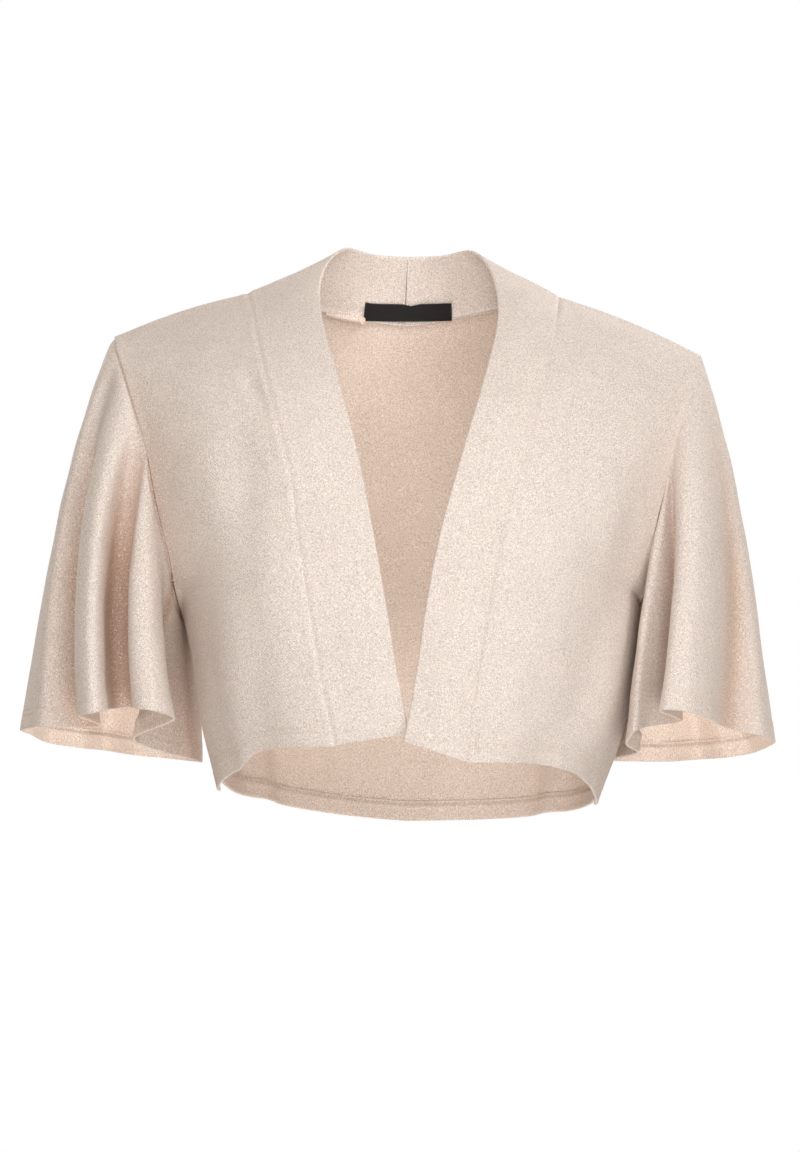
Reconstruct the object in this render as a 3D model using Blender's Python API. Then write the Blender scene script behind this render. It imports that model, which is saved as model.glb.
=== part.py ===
"""Bolero jacket: an open, collarless short jacket in a fine metallic crepe, with a wide double band
round the fronts and neck and short flounced sleeves, in the hollow form that a wearer gives it.

Metres, +Z up. The front faces -Y and the wearer's right side is at -X. The origin is the middle of
the neck opening between the shoulder seams, where the wearer's neck and shoulders hold the jacket.
Every seam line is shared by the panels that meet on it, and each panel then draws back from it.
"""

import bmesh
import bpy
import numpy as np

CLOTH = 0.0012
BAND_CLOTH = 0.0024
LABEL_CLOTH = 0.0008
SEAM_GAP = 0.0003

SIDE_ROWS = 8
ARMHOLE_ROWS = 18
SHOULDER_COLUMNS = 8
HALF_NECK_COLUMNS = 7
BAND_COLUMNS = 4
SLEEVE_ROWS = 10
FRONT_SPLITS = 3
BACK_SPLITS = 2

FRONT_BOW = 1
BACK_BOW = 2
FRONT_LIFT = 3
BACK_RIGHT_LIFT = 1.2
BACK_LEFT_LIFT = 2
SHOULDER_RISE = 0.003
SLEEVE_FLARE = 0.15
BAND_CROWN = 0.0015
LABEL_HALF_WIDTH = 0.0325
LABEL_LOW, LABEL_HIGH = -0.0075, 0.0045
LABEL_COLUMNS, LABEL_ROWS = 10, 2

# Where folded cloths' normals agree less than the first share, each wall keeps its own direction.
OWN_BELOW, SHARED_ABOVE = 0.3, 0.7
SHARP_DEGREES = 50
CREPE_COLOUR = (0.76, 0.67, 0.585)
LABEL_COLOUR = (0.012, 0.012, 0.012)

# Fronts, hem to shoulder. Each section runs from the band seam to the side seam or armhole edge:
# name, seam x, y, z, edge x, y, z, and how round it is (0 a straight line, 1 a quarter ellipse).
FRONT_RIGHT = (
    ("hem", -0.049, -0.122, -0.322, -0.130, 0.000, -0.341, 1.0),
    ("low", -0.055, -0.126, -0.293, -0.141, 0.000, -0.302, 1.0),
    ("waist", -0.064, -0.130, -0.245, -0.150, -0.001, -0.254, 1.0),
    ("underarm", -0.070, -0.130, -0.208, -0.158, 0.003, -0.224, 1.0),
    ("armhole turn", -0.073, -0.128, -0.188, -0.160, -0.036, -0.214, 0.9),
    ("armhole low", -0.076, -0.124, -0.166, -0.164, -0.056, -0.188, 0.78),
    ("armhole front", -0.079, -0.119, -0.141, -0.172, -0.058, -0.156, 0.65),
    ("chest", -0.086, -0.109, -0.112, -0.180, -0.054, -0.117, 0.5),
    ("upper chest", -0.094, -0.091, -0.080, -0.191, -0.042, -0.080, 0.4),
    ("yoke", -0.102, -0.063, -0.047, -0.200, -0.022, -0.052, 0.3),
    ("below shoulder", -0.108, -0.029, -0.018, -0.205, -0.007, -0.037, 0.15),
    ("shoulder", -0.113, 0.006, 0.003, -0.207, 0.006, -0.028, 0.0),
)
FRONT_LEFT = (
    ("hem", 0.039, -0.126, -0.333, 0.130, 0.000, -0.354, 1.0),
    ("low", 0.042, -0.128, -0.300, 0.1445, 0.000, -0.305, 1.0),
    ("waist", 0.051, -0.131, -0.245, 0.155, 0.000, -0.258, 1.0),
    ("underarm", 0.058, -0.130, -0.205, 0.160, 0.003, -0.223, 1.0),
    ("armhole turn", 0.062, -0.128, -0.186, 0.162, -0.036, -0.213, 0.9),
    ("armhole low", 0.066, -0.125, -0.166, 0.166, -0.055, -0.186, 0.78),
    ("armhole front", 0.072, -0.120, -0.144, 0.172, -0.058, -0.160, 0.65),
    ("chest", 0.080, -0.110, -0.118, 0.180, -0.054, -0.128, 0.5),
    ("upper chest", 0.089, -0.093, -0.086, 0.189, -0.043, -0.096, 0.4),
    ("yoke", 0.099, -0.062, -0.048, 0.198, -0.027, -0.070, 0.3),
    ("below shoulder", 0.104, -0.028, -0.018, 0.204, -0.009, -0.051, 0.15),
    ("shoulder", 0.107, 0.006, 0.0005, 0.206, 0.006, -0.041, 0.0),
)

# Back, hem to yoke. Each section runs from the right edge through the centre to the left edge:
# name, right x, y, z, centre y, z, left x, y, z, roundness. The shoulders and neckline close it.
BACK = (
    ("hem", -0.130, 0.000, -0.341, 0.095, -0.366, 0.130, 0.000, -0.354, 1.0),
    ("low", -0.141, 0.000, -0.302, 0.098, -0.304, 0.1445, 0.000, -0.305, 1.0),
    ("waist", -0.150, -0.001, -0.254, 0.102, -0.252, 0.155, 0.000, -0.258, 1.0),
    ("underarm", -0.158, 0.003, -0.224, 0.104, -0.214, 0.160, 0.003, -0.223, 1.0),
    ("armhole turn", -0.160, 0.040, -0.208, 0.105, -0.192, 0.162, 0.040, -0.207, 0.9),
    ("armhole low", -0.168, 0.058, -0.180, 0.105, -0.168, 0.169, 0.058, -0.181, 0.75),
    ("armhole back", -0.177, 0.064, -0.149, 0.104, -0.141, 0.177, 0.063, -0.153, 0.6),
    ("shoulder blade", -0.187, 0.061, -0.115, 0.102, -0.109, 0.186, 0.060, -0.122, 0.5),
    ("across back", -0.197, 0.047, -0.077, 0.096, -0.076, 0.195, 0.046, -0.088, 0.4),
    ("yoke", -0.204, 0.026, -0.046, 0.087, -0.043, 0.203, 0.026, -0.058, 0.3),
)
# Back neck seam from the right shoulder seam to the left one.
NECKLINE = (
    ("right shoulder", -0.113, 0.006, 0.003),
    ("right turn", -0.103, 0.028, 0.003),
    ("right hollow", -0.085, 0.046, 0.002),
    ("right back", -0.062, 0.059, -0.001),
    ("right centre", -0.035, 0.070, -0.005),
    ("centre back", 0.000, 0.075, -0.009),
    ("left centre", 0.033, 0.070, -0.005),
    ("left back", 0.060, 0.059, -0.001),
    ("left hollow", 0.081, 0.046, 0.002),
    ("left turn", 0.098, 0.028, 0.003),
    ("left shoulder", 0.107, 0.006, 0.0005),
)

# Free edge of the band from the hem up the front and round to the centre back:
# name, share of the band's length, x, y, z.
BAND_EDGE_RIGHT = (
    ("hem", 0.0, -0.0005, -0.1250, -0.314),
    ("low", 0.08, -0.008, -0.129, -0.276),
    ("waist", 0.17, -0.016, -0.133, -0.227),
    ("middle", 0.26, -0.024, -0.131, -0.181),
    ("chest", 0.36, -0.035, -0.117, -0.124),
    ("upper chest", 0.46, -0.048, -0.093, -0.073),
    ("collar bone", 0.56, -0.060, -0.053, -0.025),
    ("neck front", 0.65, -0.0625, -0.020, 0.003),
    ("neck side", 0.735, -0.058, 0.016, 0.026),
    ("neck turn", 0.82, -0.046, 0.039, 0.0405),
    ("neck back", 0.91, -0.025, 0.054, 0.038),
    ("centre back", 1.0, 0.000, 0.060, 0.037),
)
BAND_EDGE_LEFT = (
    ("hem", 0.0, -0.002, -0.1295, -0.320),
    ("low", 0.08, 0.006, -0.1315, -0.275),
    ("waist", 0.17, 0.0125, -0.1330, -0.230),
    ("middle", 0.26, 0.021, -0.131, -0.185),
    ("chest", 0.36, 0.036, -0.118, -0.128),
    ("upper chest", 0.46, 0.050, -0.095, -0.079),
    ("collar bone", 0.56, 0.062, -0.055, -0.029),
    ("neck front", 0.65, 0.0625, -0.020, 0.002),
    ("neck side", 0.735, 0.057, 0.016, 0.025),
    ("neck turn", 0.82, 0.046, 0.039, 0.0385),
    ("neck back", 0.91, 0.024, 0.054, 0.037),
    ("centre back", 1.0, 0.000, 0.060, 0.037),
)

# Lines down a sleeve, each a ridge or hollow of its flounce, from the underarm round the front to
# the shoulder (share 1) and down the back to the underarm again (share 2): name, share of the
# armhole, x and y half way down, and x, y, z at the hem.
SLEEVE_RIGHT = (
    ("underarm", 0.00, -0.154, 0.018, -0.148, 0.026, -0.3255),
    ("inner hollow", 0.20, -0.176, -0.031, -0.189, -0.023, -0.313),
    ("inner flute corner", 0.37, -0.168, -0.066, -0.159, -0.070, -0.300),
    ("inner flute", 0.46, -0.178, -0.080, -0.174, -0.089, -0.296),
    ("inner flute side", 0.53, -0.190, -0.072, -0.187, -0.076, -0.294),
    ("front hollow near", 0.58, -0.190, -0.046, -0.188, -0.036, -0.291),
    ("front hollow far", 0.635, -0.203, -0.044, -0.203, -0.034, -0.292),
    ("outer flute corner", 0.68, -0.207, -0.070, -0.205, -0.074, -0.295),
    ("outer flute", 0.74, -0.214, -0.077, -0.214, -0.088, -0.298),
    ("outer flute side", 0.80, -0.223, -0.064, -0.225, -0.070, -0.299),
    ("side hollow", 0.88, -0.222, -0.032, -0.216, -0.022, -0.304),
    ("side front", 0.94, -0.240, -0.031, -0.252, -0.037, -0.3045),
    ("shoulder", 1.00, -0.244, 0.008, -0.2695, 0.008, -0.304),
    ("side back", 1.12, -0.241, 0.036, -0.2675, 0.042, -0.306),
    ("back flute 1", 1.24, -0.230, 0.063, -0.259, 0.076, -0.310),
    ("back hollow 1", 1.36, -0.214, 0.072, -0.236, 0.078, -0.3138),
    ("back flute 2", 1.48, -0.204, 0.085, -0.219, 0.100, -0.3148),
    ("back hollow 2", 1.61, -0.187, 0.078, -0.195, 0.084, -0.319),
    ("back flute 3", 1.74, -0.172, 0.070, -0.174, 0.083, -0.321),
    ("back inner", 1.88, -0.150, 0.056, -0.148, 0.058, -0.325),
)
SLEEVE_LEFT = (
    ("underarm", 0.00, 0.154, 0.020, 0.1425, 0.026, -0.324),
    ("inner hollow", 0.18, 0.163, -0.026, 0.158, -0.026, -0.322),
    ("inner flute corner", 0.33, 0.157, -0.056, 0.149, -0.050, -0.316),
    ("inner flute", 0.42, 0.161, -0.071, 0.155, -0.069, -0.309),
    ("inner flute side", 0.49, 0.1715, -0.066, 0.167, -0.053, -0.305),
    ("front hollow", 0.555, 0.184, -0.054, 0.187, -0.040, -0.301),
    ("outer flute corner", 0.61, 0.181, -0.078, 0.170, -0.087, -0.297),
    ("outer flute", 0.70, 0.193, -0.084, 0.185, -0.099, -0.297),
    ("outer flute side", 0.78, 0.206, -0.072, 0.203, -0.080, -0.301),
    ("side hollow", 0.87, 0.222, -0.040, 0.220, -0.040, -0.306),
    ("side front", 0.94, 0.233, -0.024, 0.246, -0.028, -0.311),
    ("shoulder", 1.00, 0.234, 0.008, 0.2565, 0.008, -0.312),
    ("side back", 1.12, 0.231, 0.036, 0.255, 0.042, -0.315),
    ("back flute 1", 1.24, 0.222, 0.063, 0.246, 0.074, -0.318),
    ("back hollow 1", 1.36, 0.209, 0.071, 0.226, 0.078, -0.321),
    ("back flute 2", 1.48, 0.199, 0.083, 0.210, 0.098, -0.3213),
    ("back hollow 2", 1.61, 0.184, 0.077, 0.187, 0.084, -0.3235),
    ("back flute 3", 1.74, 0.170, 0.070, 0.168, 0.082, -0.3234),
    ("back inner", 1.88, 0.151, 0.056, 0.143, 0.058, -0.324),
)

# Soft hanging folds of the body: name, share across the panel and share of its height at the top
# and at the bottom, half width across, and how far the cloth sinks in (less than 0 stands out).
FOLDS_RIGHT = (
    ("beside the band", 0.16, 0.86, 0.26, 0.50, 0.12, 0.0030),
    ("side hollow", 0.62, 0.52, 0.66, -0.10, 0.15, 0.0060),
)
FOLDS_LEFT = (
    ("below the armhole", 0.86, 0.66, 0.70, 0.42, 0.12, 0.0030),
    ("hem wave", 0.34, 0.22, 0.30, -0.10, 0.16, 0.0045),
    ("side hollow", 0.78, 0.30, 0.74, -0.10, 0.12, 0.0040),
)
FOLDS_BACK = (
    ("right back hollow", 0.30, 0.50, 0.26, -0.10, 0.045, 0.0060),
    ("centre back hollow", 0.52, 0.46, 0.54, -0.10, 0.050, 0.0050),
    ("left back hollow", 0.70, 0.52, 0.75, -0.10, 0.045, 0.0060),
)


def unit(vectors):
    return vectors / np.maximum(np.linalg.norm(vectors, axis=-1, keepdims=True), 1e-12)


def steps(points):
    """Distance along a line of points, from its first point."""
    return np.concatenate([[0.0], np.cumsum(np.linalg.norm(np.diff(points, axis=0), axis=1))])


def smooth(stations, values, wanted):
    """Cubic curve through the values at their stations, read at the wanted stations."""
    stations = np.asarray(stations, float)
    values = np.asarray(values, float)
    flat = values.reshape(len(stations), -1)
    slopes = np.gradient(flat, stations, axis=0)
    wanted = np.asarray(wanted, float)
    k = np.clip(np.searchsorted(stations, wanted) - 1, 0, len(stations) - 2)
    width = (stations[k + 1] - stations[k])[:, None]
    t = (wanted - stations[k])[:, None] / width
    start = (1 + 2 * t) * (1 - t) ** 2 * flat[k] + t * (1 - t) ** 2 * width * slopes[k]
    end = t**2 * (3 - 2 * t) * flat[k + 1] - t**2 * (1 - t) * width * slopes[k + 1]
    return (start + end).reshape(len(wanted), *values.shape[1:])


def straight(stations, values, wanted):
    """Straight runs between the values at their stations, read at the wanted stations."""
    flat = values.reshape(len(values), -1)
    read = [np.interp(wanted, stations, column) for column in flat.T]
    return np.array(read).T.reshape(len(wanted), *values.shape[1:])


def spread(points, count):
    """The curve through these points, at equal steps along it."""
    return smooth(steps(points), points, np.linspace(0, steps(points)[-1], count + 1))


def section(start, end, roundness, bow, lift, shares):
    """Points across a panel: between a plain curve of the power bow (1 is a straight line) and the
    quarter ellipse that leaves the start along X and reaches the end along Y. Its height changes
    late, by the power lift."""
    shares = np.asarray(shares)[:, None]
    plainness = 1 - roundness
    along = plainness * shares + roundness * np.sin(np.pi / 2 * shares)
    deep = plainness * shares**bow + roundness * (1 - np.cos(np.pi / 2 * shares))
    up = plainness * shares + roundness * shares**lift
    return start + (end - start) * np.hstack([along, deep, up])


def shoulder_line(neck_point, tip):
    """A shoulder seam from the neck to the sleeve, slightly arched."""
    share = np.linspace(0, 1, SHOULDER_COLUMNS + 1)[:, None]
    line = neck_point + (tip - neck_point) * share
    return line + [0, 0, SHOULDER_RISE] * np.sin(np.pi * share)


def panel_rows(key_rows, underarm, edges):
    """The panel's grid: key rows joined by smooth curves, with its cut edges kept exactly."""
    stations = steps(key_rows.reshape(len(key_rows), -1)) / key_rows.shape[1] ** 0.5
    wanted = np.concatenate(
        [
            np.linspace(0, stations[underarm], SIDE_ROWS + 1),
            np.linspace(stations[underarm], stations[-1], ARMHOLE_ROWS + 1)[1:],
        ]
    )
    grid = smooth(stations, key_rows, wanted)
    across = np.linspace(0, 1, grid.shape[1])[None, :, None]
    for column, edge in edges.items():
        nearness = across**3 if column else (1 - across) ** 3
        grid = grid + (edge - grid[:, column])[:, None] * nearness
    return grid


def edge_line(points, underarm):
    """Side seam up to the underarm, then the armhole, which meet there at a corner."""
    side = spread(points[: underarm + 1], SIDE_ROWS)
    armhole = spread(points[underarm:], ARMHOLE_ROWS)
    return np.concatenate([side, armhole[1:]])


def row_number(table, name):
    return [row[0] for row in table].index(name)


def numbers(table):
    return np.array([row[1:] for row in table], float)


def grid_normals(grid, facing, closed=False):
    """Unit normals of a grid of points, on the side that facing (1 or -1) gives."""
    if closed:
        padded = np.concatenate([grid[:, -2:-1], grid, grid[:, 1:2]], axis=1)
        across = np.gradient(padded, axis=1)[:, 1:-1]
    else:
        across = np.gradient(grid, axis=1)
    return facing * unit(np.cross(np.gradient(grid, axis=0), across))


def folded(grid, normals, folds):
    """The grid with its soft folds: each sinks along a line and fades out at its two ends."""
    rows, columns = grid.shape[:2]
    up, across = np.meshgrid(np.linspace(0, 1, rows), np.linspace(0, 1, columns), indexing="ij")
    depth = np.zeros((rows, columns))
    for _, top_x, top_z, low_x, low_z, half_width, sink in folds:
        share = (up - low_z) / (top_z - low_z)
        middle = low_x + (top_x - low_x) * share
        fade = np.sin(np.pi / 2 * np.clip(1 - share, 0, 1)) ** 2
        depth += sink * fade * np.exp(-(((across - middle) / half_width) ** 2))
    return grid - normals * depth[:, :, None]


def front_grid(table, folds):
    sizes = numbers(table)
    shares = np.linspace(0, 1, SHOULDER_COLUMNS + 1)
    keys = np.array(
        [section(row[:3], row[3:6], row[6], FRONT_BOW, FRONT_LIFT, shares) for row in sizes]
    )
    keys[-1] = shoulder_line(sizes[-1, :3], sizes[-1, 3:6])
    underarm = row_number(table, "underarm")
    edge = edge_line(sizes[:, 3:6], underarm)
    grid = panel_rows(keys, underarm, {-1: edge})
    seam, shoulder = grid[:, 0].copy(), grid[-1].copy()
    grid = folded(grid, grid_normals(grid, -np.sign(sizes[0, 0])), folds)
    grid[:, 0], grid[:, -1], grid[-1] = seam, edge, shoulder
    return grid


def back_grid(right_front, left_front):
    sizes = numbers(BACK)
    neck = spread(numbers(NECKLINE), 2 * HALF_NECK_COLUMNS)
    top = np.concatenate([right_front[-1][::-1], neck[1:-1], left_front[-1]])
    half = len(top) // 2
    right_shares = top[: half + 1, 0] / top[0, 0]
    left_shares = top[half + 1 :, 0] / top[-1, 0]
    keys = []
    for row in sizes:
        centre = np.array([0.0, row[3], row[4]])
        right = section(centre, row[:3], row[8], BACK_BOW, BACK_RIGHT_LIFT, right_shares)
        left = section(centre, row[5:8], row[8], BACK_BOW, BACK_LEFT_LIFT, left_shares)
        keys.append(np.concatenate([right, left]))
    underarm = row_number(BACK, "underarm")
    tips = top[[0, -1]]
    right_edge = edge_line(np.concatenate([sizes[:, :3], tips[:1]]), underarm)
    left_edge = edge_line(np.concatenate([sizes[:, 5:8], tips[1:]]), underarm)
    right_edge[: SIDE_ROWS + 1] = right_front[: SIDE_ROWS + 1, -1]
    left_edge[: SIDE_ROWS + 1] = left_front[: SIDE_ROWS + 1, -1]
    grid = panel_rows(np.array([*keys, top]), underarm, {0: right_edge, -1: left_edge})
    grid = folded(grid, grid_normals(grid, 1), FOLDS_BACK)
    grid[:, 0], grid[:, -1], grid[-1] = right_edge, left_edge, top
    return grid


def band_grid(front, neck, edge_table):
    """Half of the band: straight across from the seam to its free edge, with a slight crown."""
    seam = np.concatenate([front[:, 0], neck[1:]])
    edges = numbers(edge_table)
    free = smooth(edges[:, 0], edges[:, 1:], steps(seam) / steps(seam)[-1])
    share = np.linspace(0, 1, BAND_COLUMNS + 1)[None, :, None]
    grid = seam[:, None] + (free - seam)[:, None] * share
    crown = BAND_CROWN * np.sin(np.pi * share)
    outwards = grid_normals(grid, np.sign(seam[0, 0]))
    _, deep, up = free[-1] - seam[-1]
    outwards[-1] = unit(np.array([0, up, -deep]))
    return grid + outwards * crown


def armhole_ring(front, back_edge):
    """The armhole from the underarm up the front and down the back, each panel's edge split
    evenly, with the share of the way round at each point."""
    front_edge = front[SIDE_ROWS:, -1]
    back_edge = back_edge[SIDE_ROWS:][::-1]
    ring, shares = [], []
    for turn, edge, splits in ((0, front_edge, FRONT_SPLITS), (1, back_edge, BACK_SPLITS)):
        length = steps(edge) / steps(edge)[-1]
        fine = np.arange(0, ARMHOLE_ROWS * splits) / splits
        ring.append(straight(range(ARMHOLE_ROWS + 1), edge, fine))
        shares.append(turn + np.interp(fine, range(ARMHOLE_ROWS + 1), length))
    return np.concatenate([*ring, front_edge[:1]]), np.concatenate([*shares, [2.0]])


def sleeve_grid(ring, shares, table):
    """A sleeve: every line of its flounce runs from the armhole through the half-way point to the
    hem, and smooth curves join the lines round the arm."""
    sizes = numbers(table)
    around = np.concatenate([sizes[-3:], sizes, sizes[:3]])
    around[:3, 0] -= 2
    around[-3:, 0] += 2
    lines = smooth(around[:, 0], around[:, 1:], shares)
    middle, hem = lines[:, :2], lines[:, 2:]
    down = np.linspace(0, 1, SLEEVE_ROWS + 1)[:, None]
    flare = (down ** (1 - SLEEVE_FLARE * np.sin(np.pi / 2 * shares) ** 2))[:, :, None]
    flat = (1 - flare) * (1 - 2 * flare) * ring[:, :2] + 4 * flare * (1 - flare) * middle
    flat += flare * (2 * flare - 1) * hem[:, :2]
    heights = ring[:, 2] + (hem[:, 2] - ring[:, 2]) * down
    return np.concatenate([flat, heights[:, :, None]], axis=2)


def place_key(point):
    return tuple(int(round(value * 1e6)) for value in point)


class Panel:
    """One cut piece: its grid of points, the side that its right side faces, and which of its
    borders are sewn: low row, high row, first column and last column. Its layer is "body" or
    "edge", for what is sewn to the body's edges."""

    def __init__(self, name, layer, grid, facing, sewn, thickness, closed=False):
        self.name = name
        self.layer = layer
        self.grid = grid
        self.closed = closed
        self.sewn = sewn
        self.thickness = thickness
        self.normals = grid_normals(grid, facing, closed)
        self.sums = 2 * self.normals

    def borders(self):
        """Index of each sewn border and of the line of points beside it."""
        low, high, first, last = self.sewn
        pairs = ((low, 0, 1, 0), (high, -1, -2, 0), (first, 0, 1, 1), (last, -1, -2, 1))
        for is_sewn, edge, beside, axis in pairs:
            if is_sewn:
                everything = slice(None)
                yield (
                    (edge, everything) if axis == 0 else (everything, edge),
                    (beside, everything) if axis == 0 else (everything, beside),
                )


def share_normals(panels):
    """Where panels meet on a seam, the sum of the two layers' normals there, softened along the
    bands so that the walls don't twist at the neck's shoulder point."""
    layers = {}
    for panel in panels:
        seen = set()
        for edge, _ in panel.borders():
            for point, normal in zip(panel.grid[edge], panel.normals[edge]):
                key = place_key(point)
                if key not in seen:
                    seen.add(key)
                    layer = layers.setdefault(key, {})
                    layer[panel.layer] = layer.get(panel.layer, 0) + normal
    sums = {
        key: 2 / len(layer) * sum(unit(total) for total in layer.values())
        for key, layer in layers.items()
    }
    for panel in panels:
        if panel.layer == "edge" and not panel.closed:
            keys = [place_key(point) for point in panel.grid[:, 0]]
            line = np.array([sums[key] for key in keys])
            line[1:-1] = (line[:-2] + 2 * line[1:-1] + line[2:]) / 4
            sums.update(zip(keys, line))
    for panel in panels:
        for edge, _ in panel.borders():
            panel.sums[edge] = [sums[place_key(point)] for point in panel.grid[edge]]


def even_out(sleeve):
    """Between the points that it shares with the body, the sleeve's seam takes their mean."""
    turn = ARMHOLE_ROWS * FRONT_SPLITS
    end = turn + ARMHOLE_ROWS * BACK_SPLITS
    meets = [*range(0, turn, FRONT_SPLITS), *range(turn, end + 1, BACK_SPLITS)]
    sleeve.sums[0] = straight(meets, sleeve.sums[0][meets], range(end + 1))


def dot(a, b):
    return np.sum(a * b, axis=-1, keepdims=True)


def drawn_back(panel):
    """The panel's outer points with its sewn borders half a gap back from the seam line."""
    grid = panel.grid.copy()
    for edge, beside in panel.borders():
        inwards = unit(panel.grid[beside] - panel.grid[edge])
        bisector = unit(panel.sums[edge])
        rise = dot(inwards, bisector)
        turned = panel.sums[edge] / 2 - panel.normals[edge]
        away = inwards - rise * bisector + np.sign(rise) * turned
        grid[edge] += unit(away) * SEAM_GAP / 2
    return grid


def wall_normals(panel):
    """Directions of the wall's thickness: the shared ones at a seam, but a panel's own where the
    two cloths fold back on each other with their right sides together."""
    weight = np.ones((*panel.grid.shape[:2], 1))
    shared = unit(panel.sums)
    for edge, beside in panel.borders():
        rises = dot(unit(panel.grid[beside] - panel.grid[edge]), shared[edge]) > 0
        agreement = dot(panel.normals[edge], shared[edge])
        agreement = np.interp(agreement, (OWN_BELOW, SHARED_ABOVE), (0, 1))
        weight[edge] = np.minimum(weight[edge], np.where(rises, agreement, 1))
    return unit(panel.normals + weight * (shared - panel.normals))


def cloth_object(name, outer, normals, thickness, closed, material, collection):
    """A closed wall: the outer points, the inner points and the strips that join their borders."""
    if closed:
        outer, normals = outer[:, :-1], normals[:, :-1]
    rows, columns = outer.shape[:2]
    inner = outer - normals * thickness
    shape = bmesh.new()
    sides = [
        [[shape.verts.new(point) for point in row] for row in surface] for surface in (outer, inner)
    ]
    last = columns if closed else columns - 1
    for side in sides:
        for r in range(rows - 1):
            for c in range(last):
                d = (c + 1) % columns
                shape.faces.new((side[r][c], side[r][d], side[r + 1][d], side[r + 1][c]))
    border = [[(r, c, r, (c + 1) % columns) for c in range(last)] for r in (0, rows - 1)]
    if not closed:
        border += [[(r, c, r + 1, c) for r in range(rows - 1)] for c in (0, columns - 1)]
    for strip in border:
        for r, c, r_next, c_next in strip:
            out, inn = sides
            shape.faces.new((out[r][c], out[r_next][c_next], inn[r_next][c_next], inn[r][c]))
    bmesh.ops.recalc_face_normals(shape, faces=shape.faces)
    mesh = bpy.data.meshes.new(name)
    shape.to_mesh(mesh)
    shape.free()
    mesh.shade_smooth()
    mesh.set_sharp_from_angle(angle=np.radians(SHARP_DEGREES))
    mesh.materials.append(material)
    collection.objects.link(bpy.data.objects.new(name, mesh))


def plain_material(name, colour, roughness, metallic):
    material = bpy.data.materials.new(name)
    material.use_nodes = True
    shader = material.node_tree.nodes["Principled BSDF"]
    shader.inputs["Base Color"].default_value = (*colour, 1)
    shader.inputs["Roughness"].default_value = roughness
    shader.inputs["Metallic"].default_value = metallic
    return material


def label_grid(right_band, left_band):
    """The label's outer points: on the inside of the band, across its centre back seam."""
    neck = slice(-HALF_NECK_COLUMNS - 1, None)
    both = np.concatenate([right_band.grid[neck], left_band.grid[neck][-2::-1]])
    normals = np.concatenate([right_band.normals[neck], left_band.normals[neck][-2::-1]])
    inside = both - normals * (BAND_CLOTH + SEAM_GAP)
    wanted = np.linspace(-LABEL_HALF_WIDTH, LABEL_HALF_WIDTH, LABEL_COLUMNS + 1)
    across = straight(both[:, 0, 0], inside, wanted)
    seam, free = across[:, 0], across[:, -1]
    heights = np.linspace(LABEL_LOW, LABEL_HIGH, LABEL_ROWS + 1)[:, None]
    share = (heights - seam[:, 2]) / (free - seam)[:, 2]
    return seam + share[:, :, None] * (free - seam)


def build():
    for obj in list(bpy.data.objects):
        bpy.data.objects.remove(obj)
    collection = bpy.data.collections.new("bolero_jacket")
    bpy.context.scene.collection.children.link(collection)

    right_front = front_grid(FRONT_RIGHT, FOLDS_RIGHT)
    left_front = front_grid(FRONT_LEFT, FOLDS_LEFT)
    back = back_grid(right_front, left_front)
    neck = back[-1, SHOULDER_COLUMNS:-SHOULDER_COLUMNS]
    right_band = band_grid(right_front, neck[: HALF_NECK_COLUMNS + 1], BAND_EDGE_RIGHT)
    left_band = band_grid(left_front, neck[HALF_NECK_COLUMNS:][::-1], BAND_EDGE_LEFT)
    right_ring = armhole_ring(right_front, back[:, 0])
    left_ring = armhole_ring(left_front, back[:, -1])

    panels = [
        Panel("front_right", "body", right_front, 1, (False, True, True, True), CLOTH),
        Panel("front_left", "body", left_front, -1, (False, True, True, True), CLOTH),
        Panel("back", "body", back, 1, (False, True, True, True), CLOTH),
        Panel("band_right", "edge", right_band, -1, (False, True, True, False), BAND_CLOTH),
        Panel("band_left", "edge", left_band, 1, (False, True, True, False), BAND_CLOTH),
        Panel("sleeve_right", "edge", sleeve_grid(*right_ring, SLEEVE_RIGHT), -1,
              (True, False, False, False), CLOTH, True),
        Panel("sleeve_left", "edge", sleeve_grid(*left_ring, SLEEVE_LEFT), 1,
              (True, False, False, False), CLOTH, True),
    ]
    share_normals(panels)
    for panel in panels:
        if panel.closed:
            even_out(panel)
        material = plain_material(f"{panel.name}_crepe", CREPE_COLOUR, 0.62, 0.15)
        cloth_object(panel.name, drawn_back(panel), wall_normals(panel), panel.thickness,
                     panel.closed, material, collection)

    by_name = {panel.name: panel for panel in panels}
    label = label_grid(by_name["band_right"], by_name["band_left"])
    black = plain_material("label_black", LABEL_COLOUR, 0.6, 0.0)
    cloth_object("neck_label", label, grid_normals(label, 1), LABEL_CLOTH, False, black,
                 collection)


build()
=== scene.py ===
"""Bolero jacket in a fine metallic crepe, as worn with no wearer: open, collarless, with a wide
double band round the fronts and neck and short flounced sleeves.

Metres, +Z up, the front faces -Y. Each panel is one thin sheet of cloth on the form of its solid.
"""

import bpy
import numpy as np
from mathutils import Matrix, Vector, noise


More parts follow.
